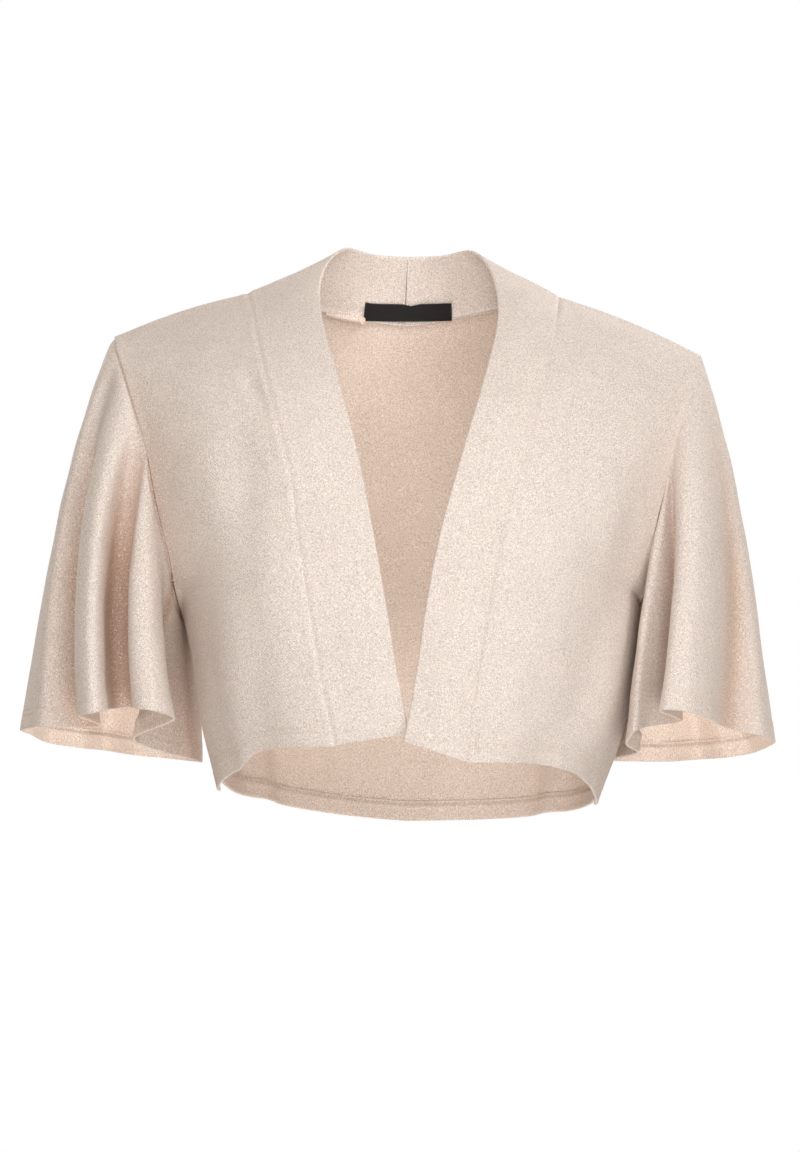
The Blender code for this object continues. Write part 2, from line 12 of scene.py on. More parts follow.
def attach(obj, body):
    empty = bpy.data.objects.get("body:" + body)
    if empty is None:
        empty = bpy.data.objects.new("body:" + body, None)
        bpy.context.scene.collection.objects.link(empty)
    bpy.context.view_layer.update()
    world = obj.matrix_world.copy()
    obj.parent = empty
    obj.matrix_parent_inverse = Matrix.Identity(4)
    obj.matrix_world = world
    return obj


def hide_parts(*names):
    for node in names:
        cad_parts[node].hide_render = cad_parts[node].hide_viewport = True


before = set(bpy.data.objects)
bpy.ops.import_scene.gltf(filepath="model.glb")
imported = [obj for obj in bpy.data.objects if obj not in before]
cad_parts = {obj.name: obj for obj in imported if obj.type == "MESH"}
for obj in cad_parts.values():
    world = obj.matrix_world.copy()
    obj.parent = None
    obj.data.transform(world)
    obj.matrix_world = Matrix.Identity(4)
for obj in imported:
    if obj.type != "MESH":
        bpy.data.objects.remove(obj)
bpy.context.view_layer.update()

# The two fronts. Each is one piece of crepe from the band seam round to the side seam and armhole, with
# a turned hem. The crepe is a fine grained knit with metallic threads, warmer on its wrong side, which
# is also painted lighter to stand in for light inside the jacket.
CLOTH = 0.0008
SHARP_DEGREES = 50
SIDE_ROWS = 30
ARMHOLE_ROWS = 66
SHOULDER_COLUMNS = 36
FRONT_BOW = 1
FRONT_LIFT = 3
SHOULDER_RISE = 0.003

# Fronts, hem to shoulder. Each section runs from the band seam to the side seam or armhole edge:
# name, seam x, y, z, edge x, y, z, and how round it is (0 a straight line, 1 a quarter ellipse).
FRONT_RIGHT = (
    ("hem", -0.049, -0.122, -0.322, -0.130, 0.000, -0.341, 1.0),
    ("low", -0.055, -0.126, -0.293, -0.141, 0.000, -0.302, 1.0),
    ("waist", -0.064, -0.130, -0.245, -0.150, -0.001, -0.254, 1.0),
    ("underarm", -0.070, -0.130, -0.208, -0.158, 0.003, -0.224, 1.0),
    ("armhole turn", -0.073, -0.128, -0.188, -0.160, -0.036, -0.214, 0.9),
    ("armhole low", -0.076, -0.124, -0.166, -0.164, -0.056, -0.188, 0.78),
    ("armhole front", -0.079, -0.119, -0.141, -0.172, -0.058, -0.156, 0.65),
    ("chest", -0.086, -0.109, -0.112, -0.180, -0.054, -0.117, 0.5),
    ("upper chest", -0.094, -0.091, -0.080, -0.191, -0.042, -0.080, 0.4),
    ("yoke", -0.102, -0.063, -0.047, -0.200, -0.022, -0.052, 0.3),
    ("below shoulder", -0.108, -0.029, -0.018, -0.205, -0.007, -0.037, 0.15),
    ("shoulder", -0.113, 0.006, 0.003, -0.207, 0.006, -0.028, 0.0),
)
FRONT_LEFT = (
    ("hem", 0.039, -0.126, -0.333, 0.130, 0.000, -0.354, 1.0),
    ("low", 0.042, -0.128, -0.300, 0.1445, 0.000, -0.305, 1.0),
    ("waist", 0.051, -0.131, -0.245, 0.155, 0.000, -0.258, 1.0),
    ("underarm", 0.058, -0.130, -0.205, 0.160, 0.003, -0.223, 1.0),
    ("armhole turn", 0.062, -0.128, -0.186, 0.162, -0.036, -0.213, 0.9),
    ("armhole low", 0.066, -0.125, -0.166, 0.166, -0.055, -0.186, 0.78),
    ("armhole front", 0.072, -0.120, -0.144, 0.172, -0.058, -0.160, 0.65),
    ("chest", 0.080, -0.110, -0.118, 0.180, -0.054, -0.128, 0.5),
    ("upper chest", 0.089, -0.093, -0.086, 0.189, -0.043, -0.096, 0.4),
    ("yoke", 0.099, -0.062, -0.048, 0.198, -0.027, -0.070, 0.3),
    ("below shoulder", 0.104, -0.028, -0.018, 0.204, -0.009, -0.051, 0.15),
    ("shoulder", 0.107, 0.006, 0.0005, 0.206, 0.006, -0.041, 0.0),
)

# Soft hanging folds of the body: name, share across the panel and share of its height at the top
# and at the bottom, half width across, and how far the cloth sinks in (less than 0 stands out).
FOLDS_RIGHT = (
    ("beside the band", 0.16, 0.86, 0.26, 0.50, 0.12, 0.0030),
    ("side hollow", 0.62, 0.52, 0.66, -0.10, 0.15, 0.0060),
)
FOLDS_LEFT = (
    ("below the armhole", 0.86, 0.66, 0.70, 0.42, 0.12, 0.0030),
    ("hem wave", 0.34, 0.22, 0.30, -0.10, 0.16, 0.0045),
    ("side hollow", 0.78, 0.30, 0.74, -0.10, 0.12, 0.0040),
)

# Creases that show on the fronts. Each row: name, half width, how far it sinks (less than 0 stands
# out), then its points from one end to the other, across and up, as seen from in front.
CREASES_RIGHT = (
    ("slant beside the band", 0.0055, 0.0022, (-0.118, -0.055), (-0.104, -0.080), (-0.092, -0.103)),
    ("turn to the side", 0.0220, -0.0100, (-0.112, -0.150), (-0.116, -0.215), (-0.119, -0.280),
     (-0.122, -0.400)),
    ("below the armhole", 0.0100, 0.0018, (-0.146, -0.222), (-0.130, -0.262), (-0.122, -0.300)),
)
CREASES_LEFT = (
    ("beside the band seam", 0.0022, 0.0006, (0.072, -0.185), (0.067, -0.222), (0.060, -0.258),
     (0.055, -0.285)),
    ("hem dip", 0.0120, 0.0016, (0.095, -0.250), (0.088, -0.290), (0.082, -0.332)),
    ("turn to the side", 0.0180, -0.0090, (0.158, -0.135), (0.149, -0.209), (0.144, -0.257),
     (0.130, -0.400)),
)
# How many points a crease is drawn through, the share of its length in which it fades out at each
# end, and the share of x, y and z in the direction in which it sinks.
CREASE_SAMPLES = 60
CREASE_FADE = 0.45
CREASE_DIRECTION = (0.2, 1, 1)

# Distances of the lines of points beside a seam, and above a turned hem. A hem's cut edge lies at
# its depth. It stands out by its relief, over the width of its edge, and is drawn in at the
# stitches.
SEAM_STEPS = (0.0, 0.0006, 0.0012, 0.002, 0.003, 0.0045, 0.0065)
HEM_STEPS = (0.0, 0.0015, 0.0035, 0.006, 0.008, 0.009, 0.010, 0.0112, 0.0122, 0.0132, 0.0145, 0.017)
HEM_STITCHES = (0.009, 0.0122)
HEM_DEPTH = 0.0132
HEM_RADIUS = 0.001
HEM_RELIEF = 0.0003
HEM_EDGE = 0.001
STITCH_WIDTH = 0.0008
FOLD_TURNS = 6

# A seam's groove and the soft puff beside it, how far the cloth sinks and stands out there, and
# how far from a seam the cloth hangs freely.
SEAM_WIDTH = 0.0013
SEAM_PUFF = 0.0035
PUFF_WIDTH = 0.0022
BODY_SEAM = (0.0005, 0.0003)
SEAM_CALM = 0.014
# The body's edge laps over the sleeve at the armhole: how far each stands out, and at what
# distance from the seam. The lap is full below the first height and less above the second.
BODY_LAP = (0.0006, 0.0016)
SLEEVE_LAP = (-0.0020, 0.0016)
LAP_HEIGHTS = {"right": (-0.160, -0.050), "left": (-0.175, -0.125)}
LAP_AT_SHOULDER = {"right": 0.50, "left": 0.0}
LAP_START = 0.006


def unit(vectors):
    return vectors / np.maximum(np.linalg.norm(vectors, axis=-1, keepdims=True), 1e-12)


def steps(points):
    """Distance along a line of points, from its first point."""
    return np.concatenate([[0.0], np.cumsum(np.linalg.norm(np.diff(points, axis=0), axis=1))])


def smooth(stations, values, wanted):
    """Cubic curve through the values at their stations, read at the wanted stations."""
    stations = np.asarray(stations, float)
    values = np.asarray(values, float)
    flat = values.reshape(len(stations), -1)
    slopes = np.gradient(flat, stations, axis=0)
    wanted = np.asarray(wanted, float)
    k = np.clip(np.searchsorted(stations, wanted) - 1, 0, len(stations) - 2)
    width = (stations[k + 1] - stations[k])[:, None]
    t = (wanted - stations[k])[:, None] / width
    start = (1 + 2 * t) * (1 - t) ** 2 * flat[k] + t * (1 - t) ** 2 * width * slopes[k]
    end = t**2 * (3 - 2 * t) * flat[k + 1] - t**2 * (1 - t) * width * slopes[k + 1]
    return (start + end).reshape(len(wanted), *values.shape[1:])


def straight(stations, values, wanted):
    """Straight runs between the values at their stations, read at the wanted stations."""
    flat = values.reshape(len(values), -1)
    read = [np.interp(wanted, stations, column) for column in flat.T]
    return np.array(read).T.reshape(len(wanted), *values.shape[1:])


def spread(points, count):
    """The curve through these points, at equal steps along it."""
    return smooth(steps(points), points, np.linspace(0, steps(points)[-1], count + 1))


def section(start, end, roundness, bow, lift, shares):
    """Points across a panel: between a plain curve of the power bow (1 is a straight line) and the
    quarter ellipse that leaves the start along X and reaches the end along Y. Its height changes
    late, by the power lift."""
    shares = np.asarray(shares)[:, None]
    plainness = 1 - roundness
    along = plainness * shares + roundness * np.sin(np.pi / 2 * shares)
    deep = plainness * shares**bow + roundness * (1 - np.cos(np.pi / 2 * shares))
    up = plainness * shares + roundness * shares**lift
    return start + (end - start) * np.hstack([along, deep, up])


def shoulder_line(neck_point, tip):
    """A shoulder seam from the neck to the sleeve, slightly arched."""
    share = np.linspace(0, 1, SHOULDER_COLUMNS + 1)[:, None]
    line = neck_point + (tip - neck_point) * share
    return line + [0, 0, SHOULDER_RISE] * np.sin(np.pi * share)


def panel_rows(key_rows, underarm, edges):
    """The panel's grid: key rows joined by smooth curves, with its cut edges kept exactly."""
    stations = steps(key_rows.reshape(len(key_rows), -1)) / key_rows.shape[1] ** 0.5
    wanted = np.concatenate(
        [
            np.linspace(0, stations[underarm], SIDE_ROWS + 1),
            np.linspace(stations[underarm], stations[-1], ARMHOLE_ROWS + 1)[1:],
        ]
    )
    grid = smooth(stations, key_rows, wanted)
    across = np.linspace(0, 1, grid.shape[1])[None, :, None]
    for column, edge in edges.items():
        nearness = across**3 if column else (1 - across) ** 3
        grid = grid + (edge - grid[:, column])[:, None] * nearness
    return grid


def edge_line(points, underarm):
    """Side seam up to the underarm, then the armhole, which meet there at a corner."""
    side = spread(points[: underarm + 1], SIDE_ROWS)
    armhole = spread(points[underarm:], ARMHOLE_ROWS)
    return np.concatenate([side, armhole[1:]])


def row_number(table, name):
    return [row[0] for row in table].index(name)


def numbers(table):
    return np.array([row[1:] for row in table], float)


def grid_normals(grid, facing, closed=False):
    """Unit normals of a grid of points, on the side that facing (1 or -1) gives."""
    if closed:
        padded = np.concatenate([grid[:, -2:-1], grid, grid[:, 1:2]], axis=1)
        across = np.gradient(padded, axis=1)[:, 1:-1]
    else:
        across = np.gradient(grid, axis=1)
    return facing * unit(np.cross(np.gradient(grid, axis=0), across))


def folded(grid, normals, folds):
    """The grid with its soft folds: each sinks along a line and fades out at its two ends."""
    rows, columns = grid.shape[:2]
    up, across = np.meshgrid(np.linspace(0, 1, rows), np.linspace(0, 1, columns), indexing="ij")
    depth = np.zeros((rows, columns))
    for _, top_x, top_z, low_x, low_z, half_width, sink in folds:
        share = (up - low_z) / (top_z - low_z)
        middle = low_x + (top_x - low_x) * share
        fade = np.sin(np.pi / 2 * np.clip(1 - share, 0, 1)) ** 2
        depth += sink * fade * np.exp(-(((across - middle) / half_width) ** 2))
    return grid - normals * depth[:, :, None]


def front_grid(table, folds):
    sizes = numbers(table)
    shares = np.linspace(0, 1, SHOULDER_COLUMNS + 1)
    keys = np.array(
        [section(row[:3], row[3:6], row[6], FRONT_BOW, FRONT_LIFT, shares) for row in sizes]
    )
    keys[-1] = shoulder_line(sizes[-1, :3], sizes[-1, 3:6])
    underarm = row_number(table, "underarm")
    edge = edge_line(sizes[:, 3:6], underarm)
    grid = panel_rows(keys, underarm, {-1: edge})
    seam, shoulder = grid[:, 0].copy(), grid[-1].copy()
    grid = folded(grid, grid_normals(grid, -np.sign(sizes[0, 0])), folds)
    grid[:, 0], grid[:, -1], grid[-1] = seam, edge, shoulder
    return grid


def faded(share, length):
    """0 at a line's two ends and 1 away from them."""
    reach = np.clip(np.minimum(share, 1 - share) / length, 0, 1)
    return reach * reach * (3 - 2 * reach)


def creased(grid, facing, creases):
    """The grid with its creases: troughs and ridges that follow their points seen from in front."""
    depth = np.zeros(grid.shape[:2])
    for _, half_width, sink, *points in creases:
        path = np.array(points, float)
        wanted = np.linspace(0, steps(path)[-1], CREASE_SAMPLES)
        dense = smooth(steps(path), path, wanted)
        away = np.linalg.norm(grid[:, :, None, ::2] - dense[None, None], axis=3)
        share = np.argmin(away, axis=2) / (CREASE_SAMPLES - 1)
        depth += sink * faded(share, CREASE_FADE) * np.exp(-((away.min(axis=2) / half_width) ** 2))
    outwards = unit(grid_normals(grid, facing) * CREASE_DIRECTION)
    return grid - outwards * depth[:, :, None]


def rippled(grid, normals, height, size, seed, borders):
    """The grid with the slight unevenness of cloth that hangs free, of this height and size. It
    fades out towards the borders that are sewn: low row, high row, first and last column."""
    waves = [
        [noise.noise(Vector(point) / size + Vector((seed, 0, 0))) for point in row] for row in grid
    ]
    height = height * np.array(waves)
    aways = (distances(grid, False), distances(grid, True), distances_across(grid, False),
             distances_across(grid, True))
    for sewn, away in zip(borders, aways):
        if sewn:
            height *= np.clip(away / SEAM_CALM, 0, 1)
    return grid + normals * height[:, :, None]


def relined(grid, low, high, count):
    """Each column read again: at these distances from its two ends and evenly between them."""
    columns = []
    for column in grid.transpose(1, 0, 2):
        along = steps(column)
        middle = np.linspace(low[-1], along[-1] - high[-1], count + 1)[1:-1]
        wanted = np.concatenate([low, middle, along[-1] - np.array(high[::-1])])
        columns.append(smooth(along, column, wanted))
    return np.array(columns).transpose(1, 0, 2)


def turned(grid):
    return grid.transpose(1, 0, 2)


def distances(grid, from_end):
    """How far each point is from its column's first point, or from its last one."""
    gaps = np.linalg.norm(np.diff(grid, axis=0), axis=2)
    along = np.concatenate([np.zeros((1, grid.shape[1])), np.cumsum(gaps, axis=0)])
    return along[-1] - along if from_end else along


def distances_across(grid, from_end):
    """How far each point is from its row's first point, or from its last one."""
    return distances(turned(grid), from_end).T


def raised(grid, relief, facing, closed=False):
    """The grid moved outwards by this relief."""
    return grid + grid_normals(grid, facing, closed) * relief[:, :, None]


def seam_relief(away, depth, puff):
    """How far cloth stands out beside a seam: a narrow groove, then a soft puff over the turnings."""
    groove = -depth * np.exp(-((away / SEAM_WIDTH) ** 2))
    return groove + puff * np.exp(-(((away - SEAM_PUFF) / PUFF_WIDTH) ** 2))


def lap_strength(cloth, side):
    """How strongly an armhole seam shows: less towards the shoulder than at the underarm."""
    return np.interp(cloth[:, :, 2], LAP_HEIGHTS[side], (1, LAP_AT_SHOULDER[side]))


def lap_relief(cloth, away, side, height, width):
    """How far cloth stands out beside an armhole seam: nothing on the seam, most a width away."""
    return lap_strength(cloth, side) * height * away / width * np.exp(1 - away / width)


def hem_relief(away):
    """How far cloth stands out above a turned hem: double at the hem, drawn in at its stitches."""
    relief = HEM_RELIEF * np.clip((HEM_DEPTH - away) / HEM_EDGE + 0.5, 0, 1)
    for stitch in HEM_STITCHES:
        relief -= HEM_RELIEF * np.exp(-(((away - stitch) / STITCH_WIDTH) ** 2))
    return relief


def hemmed(grid, facing, closed=False):
    """The grid with its first row turned under: up inside the cloth, round the fold and on."""
    normals = grid_normals(grid, facing, closed)
    inside = HEM_STEPS.index(HEM_DEPTH)
    rows = [grid[k] - normals[k] * 2 * HEM_RADIUS for k in range(inside, 0, -1)]
    down = unit(grid[0] - grid[1])
    middle = grid[0] - normals[0] * HEM_RADIUS
    for turn in np.linspace(np.pi, 0, FOLD_TURNS + 1)[:-1]:
        rows.append(middle + HEM_RADIUS * (normals[0] * np.cos(turn) + down * np.sin(turn)))
    return np.concatenate([np.array(rows), grid])


def placed(name, data):
    """A new object in the scene with this mesh, light or camera."""
    thing = bpy.data.objects.new(name, data)
    bpy.context.scene.collection.objects.link(thing)
    return thing


def cloth_sheet(name, grid, facing, thickness, finishes, closed=False, turned_rows=0, painted_shade=None):
    """One sheet of cloth: its right side on the grid, its wrong side a thickness behind it, and its cut
    edges closed. Rows turned up inside take the look of the inside, warmer and painted lighter. Its UV
    map is the cloth's own length and width in metres. Its painted shade, a darkening that stands in for
    shade, is 1 for the right side deep in a hollow and 2 in a seam."""
    normals = grid_normals(grid, facing, closed)
    painted_shade = np.zeros(grid.shape[:2]) if painted_shade is None else painted_shade
    painted_shade = np.pad(painted_shade, ((grid.shape[0] - painted_shade.shape[0], 0), (0, 0)))
    across = steps(grid[-1]) if closed else steps(grid.mean(axis=0))
    up = steps(grid[:, grid.shape[1] // 2])
    if closed:
        grid, normals, painted_shade = grid[:, :-1], normals[:, :-1], painted_shade[:, :-1]
    rows, columns = grid.shape[:2]
    behind = rows * columns
    last = columns if closed else columns - 1
    places = np.concatenate([grid, grid - normals * thickness]).reshape(-1, 3)

    # The two sides.
    r, c = (index.ravel() for index in np.meshgrid(range(rows - 1), range(last), indexing="ij"))
    d = (c + 1) % columns
    corners = np.stack([r * columns + c, r * columns + d, (r + 1) * columns + d, (r + 1) * columns + c])
    maps = np.stack([[across[c], up[r]], [across[c + 1], up[r]], [across[c + 1], up[r + 1]],
                     [across[c], up[r + 1]]])
    order = [0, 3, 2, 1] if facing > 0 else [0, 1, 2, 3]
    faces = [corners[order].T, corners[order[::-1]].T + behind]
    face_maps = [maps[order].transpose(2, 0, 1), maps[order[::-1]].transpose(2, 0, 1)]

    # The cut edges: first and last row, and on an open sheet the first and last column.
    r, c = np.arange(rows - 1), np.arange(last)
    borders = [(row * columns + c, row * columns + (c + 1) % columns, across[c], up[row] + 0 * c, way)
               for row, way in ((0, 1), (rows - 1, -1))]
    if not closed:
        borders += [(r * columns + c, (r + 1) * columns + c, across[c] + 0 * r, up[r], way)
                    for c, way in ((0, -1), (columns - 1, 1))]
    for a, b, x, y, way in borders:
        strip = np.stack([a, b, b + behind, a + behind])
        faces.append(strip[::way * facing].T)
        face_maps.append(np.stack([[x, y]] * 4).transpose(2, 0, 1))
    sides = np.zeros(sum(len(part) for part in faces), np.int32)
    sides[: turned_rows * last] = len(finishes) - 1
    sides[len(faces[0]) : 2 * len(faces[0])] = len(finishes) - 1

    mesh = bpy.data.meshes.new(name)
    mesh.from_pydata(places.tolist(), [], np.concatenate(faces).tolist())
    layer = mesh.uv_layers.new(name="cloth")
    layer.data.foreach_set("uv", np.concatenate(face_maps).ravel().astype(np.float32))
    # The painted shade, on the right side only: its colour is darkened where shade falls in hollows and
    # seams.
    painted_shades = np.concatenate([painted_shade.ravel() / 2, 0 * painted_shade.ravel()]).astype(np.float32)
    mesh.attributes.new("painted_shade", "FLOAT", "POINT").data.foreach_set("value", painted_shades)
    for finish in finishes:
        mesh.materials.append(finish)
    mesh.polygons.foreach_set("material_index", sides)
    mesh.shade_smooth()
    mesh.set_sharp_from_angle(angle=np.radians(SHARP_DEGREES))
    return placed(name, mesh)


def sewn_in(piece, node):
    """The piece is this node's cloth, cut to this size, and hangs on the wearer's form."""
    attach(piece, "root")
    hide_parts(node)


def new_finish(name):
    """A new material with its nodes, its links and its shader."""
    material = bpy.data.materials.new(name)
    material.use_nodes = True
    nodes, links = material.node_tree.nodes, material.node_tree.links
    return material, nodes, links, nodes["Principled BSDF"]


def with_inputs(node, **values):
    """The node with these values in its inputs, where _ stands for a space."""
    for name, value in values.items():
        node.inputs[name.replace("_", " ")].default_value = value
    return node


def wire(links, *wires):
    """Joins nodes. Each wire is a node, its output, the next node and that one's input."""
    for source, output, node, entry in wires:
        links.new(source.outputs[output], node.inputs[entry])


def colour_ramp(nodes, *stops):
    """A ramp through these stops, each a place from 0 to 1 and a colour."""
    ramp = nodes.new("ShaderNodeValToRGB")
    elements = ramp.color_ramp.elements
    for element, (place, colour) in zip(elements, (stops[0], stops[-1])):
        element.position, element.color = place, (*colour, 1)
    for place, colour in stops[1:-1]:
        elements.new(place).color = (*colour, 1)
    return ramp


# The crepe's colours: its right side; its wrong side, which is warmer and also painted lighter to stand
# in for light inside the jacket; a painted shade for deep hollows; a darker painted shade for seams;
# and the metallic thread. Its grain runs from a darker to a lighter share of the colour.
RIGHT_SIDE = (0.80, 0.716, 0.664)
WRONG_SIDE = (0.94, 0.745, 0.655)
PAINTED_HOLLOW_SHADE_COLOUR = (0.86, 0.70, 0.60)
PAINTED_SEAM_SHADE_COLOUR = (0.16, 0.11, 0.08)
METALLIC_THREAD = (0.98, 0.93, 0.86, 1)
METALLIC_SHINE = 0.7
GRAIN_DARK, GRAIN_LIGHT = 0.56, 1.17
RIB_SLANT = np.radians(38)
RIB_HEIGHT = 0.35


def crepe(name, colour, sparkle, metal):
    """Fine grained crepe: pebbly grain, a faint slanting rib and glints of metallic thread."""
    material, nodes, links, shader = new_finish(name)
    with_inputs(shader, Roughness=0.68, Sheen_Weight=0.15, Sheen_Roughness=0.4,
                Sheen_Tint=(1.0, 0.93, 0.86, 1))
    place = nodes.new("ShaderNodeTexCoord")
    grain = with_inputs(nodes.new("ShaderNodeTexNoise"), Scale=1250, Detail=3, Roughness=0.7)
    pebbles = with_inputs(nodes.new("ShaderNodeTexVoronoi"), Scale=1700)
    clouds = with_inputs(nodes.new("ShaderNodeTexNoise"), Scale=45, Detail=3)
    slant = with_inputs(nodes.new("ShaderNodeMapping"), Rotation=(0, 0, RIB_SLANT))
    rib = with_inputs(nodes.new("ShaderNodeTexWave"), Scale=220, Distortion=1.5, Detail=1)
    wire(links, (place, "Object", grain, "Vector"), (place, "Object", pebbles, "Vector"),
         (place, "Object", clouds, "Vector"), (place, "UV", slant, "Vector"),
         (slant, "Vector", rib, "Vector"))

    # The colour: the grain, slow drifts of tone, and the painted shade of hollows and seams, a
    # darkening that stands in for shade there.
    dark = [GRAIN_DARK * value for value in colour]
    light = [min(1, GRAIN_LIGHT * value) for value in colour]
    tone = colour_ramp(nodes, (0.33, dark), (0.62, light))
    drift = with_inputs(nodes.new("ShaderNodeMapRange"), To_Min=0.95, To_Max=1.05)
    drifted = nodes.new("ShaderNodeVectorMath")
    drifted.operation = "SCALE"
    # The painted shade attribute darkens the colour towards a painted hollow shade and, in seams, a
    # darker painted shade.
    depth = nodes.new("ShaderNodeAttribute")
    depth.attribute_name = "painted_shade"
    hollow = colour_ramp(nodes, (0, (1, 1, 1)), (0.5, PAINTED_HOLLOW_SHADE_COLOUR), (1, PAINTED_SEAM_SHADE_COLOUR))
    with_painted_shade = nodes.new("ShaderNodeVectorMath")
    with_painted_shade.operation = "MULTIPLY"
    wire(links, (grain, "Fac", tone, "Fac"), (clouds, "Fac", drift, "Value"),
         (tone, "Color", drifted, 0), (drift, "Result", drifted, "Scale"),
         (depth, "Fac", hollow, "Fac"), (drifted, "Vector", with_painted_shade, 0),
         (hollow, "Color", with_painted_shade, 1))

    # The metallic thread: a few of the pebbles, by chance, glint.
    chance = nodes.new("ShaderNodeSeparateColor")
    glint = nodes.new("ShaderNodeMath")
    glint.operation = "GREATER_THAN"
    glint.inputs[1].default_value = 1 - sparkle
    finish = nodes.new("ShaderNodeMix")
    finish.data_type = "RGBA"
    finish.inputs["B"].default_value = METALLIC_THREAD
    shine = with_inputs(nodes.new("ShaderNodeMapRange"), To_Min=metal, To_Max=METALLIC_SHINE)
    wire(links, (pebbles, "Color", chance, "Color"), (chance, "Red", glint, 0),
         (glint, "Value", finish, "Factor"), (with_painted_shade, "Vector", finish, "A"),
         (finish, "Result", shader, "Base Color"), (glint, "Value", shine, "Value"),
         (shine, "Result", shader, "Metallic"))

    heights = nodes.new("ShaderNodeMath")
    heights.operation = "MULTIPLY_ADD"
    heights.inputs[1].default_value = RIB_HEIGHT
    bump = with_inputs(nodes.new("ShaderNodeBump"), Strength=0.55, Distance=0.0004)
    wire(links, (rib, "Fac", heights, 0), (grain, "Fac", heights, 2),
         (heights, "Value", bump, "Height"), (bump, "Normal", shader, "Normal"))
    return material


crepe_finishes = (crepe("crepe_right_side", RIGHT_SIDE, sparkle=0.035, metal=0.06),
                  crepe("crepe_wrong_side", WRONG_SIDE, sparkle=0.02, metal=0.02))


def side_relief(cloth, away, side, side_length):
    """Beside the side seam a groove and its puff, and above it the lap at the armhole."""
    above = np.clip((distances(cloth, False) - side_length) / LAP_START, 0, 1)
    lap = lap_relief(cloth, away, side, *BODY_LAP)
    return (1 - above) * seam_relief(away, *BODY_SEAM) + above * lap


def sagged(grid, across, half_width, drop):
    """The grid with a little tongue of its hem that hangs lower, round this place across."""
    beside = ((grid[:, :, 0] - across) / half_width) ** 4
    share = np.exp(-beside - distances(grid, False) / TONGUE_REACH)
    return grid - np.stack([0 * share, TONGUE_FORWARD * share, share], axis=2) * drop


TURNED_ROWS = HEM_STEPS.index(HEM_DEPTH) + FOLD_TURNS // 2
FRONT_ROWS, FRONT_COLUMNS = 84, 44
# Where the hem hangs lower at its side corner: place across, half width and drop. How high that
# reaches, and how far it comes forward for each part that it drops.
HEM_TONGUES = {"front_right": (-0.1215, 0.0125, 0.0060), "front_left": (0.1330, 0.0060, 0.0015)}
TONGUE_REACH = 0.02
TONGUE_FORWARD = 0.3
# The ripples of cloth that hangs free: height, size and the seed of their pattern.
FRONT_RIPPLES = (0.0007, 0.028, 3.0)
# How far each front sinks and stands out beside the band's seam.
FRONT_SEAMS = {"front_right": (0.0001, 0.0005), "front_left": (0.0006, 0.0003)}
# Painted shade on each front towards its side seam, where the cloth turns away beside the sleeve: how
# dark, how far from the seam, and over what height it fades out.
PAINTED_SIDE_SHADE = {"right": 0.55, "left": 0.20}
PAINTED_SIDE_SHADE_REACH = 0.022
PAINTED_SIDE_SHADE_FADE = 0.08
front_shapes = {}
hem_lines = []
for name, table, folds, creases, facing in (
    ("front_right", FRONT_RIGHT, FOLDS_RIGHT, CREASES_RIGHT, 1),
    ("front_left", FRONT_LEFT, FOLDS_LEFT, CREASES_LEFT, -1),
):
    side = name.split("_")[1]
    shape = front_grid(table, folds)
    front_shapes[name] = shape
    cloth = creased(shape, facing, creases)
    cloth = rippled(cloth, grid_normals(cloth, facing), *FRONT_RIPPLES, (0, 1, 1, 1))
    cloth = relined(cloth, HEM_STEPS, SEAM_STEPS, FRONT_ROWS)
    cloth = turned(relined(turned(cloth), SEAM_STEPS, SEAM_STEPS, FRONT_COLUMNS))
    cloth = sagged(cloth, *HEM_TONGUES[name])
    beside_side = distances_across(cloth, True)
    relief = seam_relief(distances_across(cloth, False), *FRONT_SEAMS[name])
    side_length = steps(shape[:, -1])[SIDE_ROWS]
    relief += side_relief(cloth, beside_side, side, side_length)
    relief += seam_relief(distances(cloth, True), *BODY_SEAM) + hem_relief(distances(cloth, False))
    cloth = raised(cloth, relief, facing)
    hem_lines.append((cloth, facing, False))
    # Painted shade, darker towards the side seam and fading out higher up.
    painted_shade = PAINTED_SIDE_SHADE[side] * np.exp(-beside_side / PAINTED_SIDE_SHADE_REACH)
    painted_shade *= np.clip((LAP_HEIGHTS["right"][1] - cloth[:, :, 2]) / PAINTED_SIDE_SHADE_FADE, 0, 1)
    piece = cloth_sheet(name + "_cloth", hemmed(cloth, facing), facing, CLOTH, crepe_finishes,
                        turned_rows=TURNED_ROWS, painted_shade=painted_shade)
    sewn_in(piece, name)

# The back. One piece of the same crepe with no centre seam, sewn to the fronts at the shoulders
# and side seams, with a turned hem. It falls in soft hollows below the shoulder blades.
HALF_NECK_COLUMNS = 26
BACK_BOW = 2
BACK_RIGHT_LIFT = 1.2
BACK_LEFT_LIFT = 2
# Back, hem to yoke. Each section runs from the right edge through the centre to the left edge:
# name, right x, y, z, centre y, z, left x, y, z, roundness. The shoulders and neckline close it.
BACK = (
    ("hem", -0.130, 0.000, -0.341, 0.095, -0.366, 0.130, 0.000, -0.354, 1.0),
    ("low", -0.141, 0.000, -0.302, 0.098, -0.304, 0.1445, 0.000, -0.305, 1.0),
    ("waist", -0.150, -0.001, -0.254, 0.102, -0.252, 0.155, 0.000, -0.258, 1.0),
    ("underarm", -0.158, 0.003, -0.224, 0.104, -0.214, 0.160, 0.003, -0.223, 1.0),
    ("armhole turn", -0.160, 0.040, -0.208, 0.105, -0.192, 0.162, 0.040, -0.207, 0.9),
    ("armhole low", -0.168, 0.058, -0.180, 0.105, -0.168, 0.169, 0.058, -0.181, 0.75),
    ("armhole back", -0.177, 0.064, -0.149, 0.104, -0.141, 0.177, 0.063, -0.153, 0.6),
    ("shoulder blade", -0.187, 0.061, -0.115, 0.102, -0.109, 0.186, 0.060, -0.122, 0.5),
    ("across back", -0.197, 0.047, -0.077, 0.096, -0.076, 0.195, 0.046, -0.088, 0.4),
    ("yoke", -0.204, 0.026, -0.046, 0.087, -0.043, 0.203, 0.026, -0.058, 0.3),
)
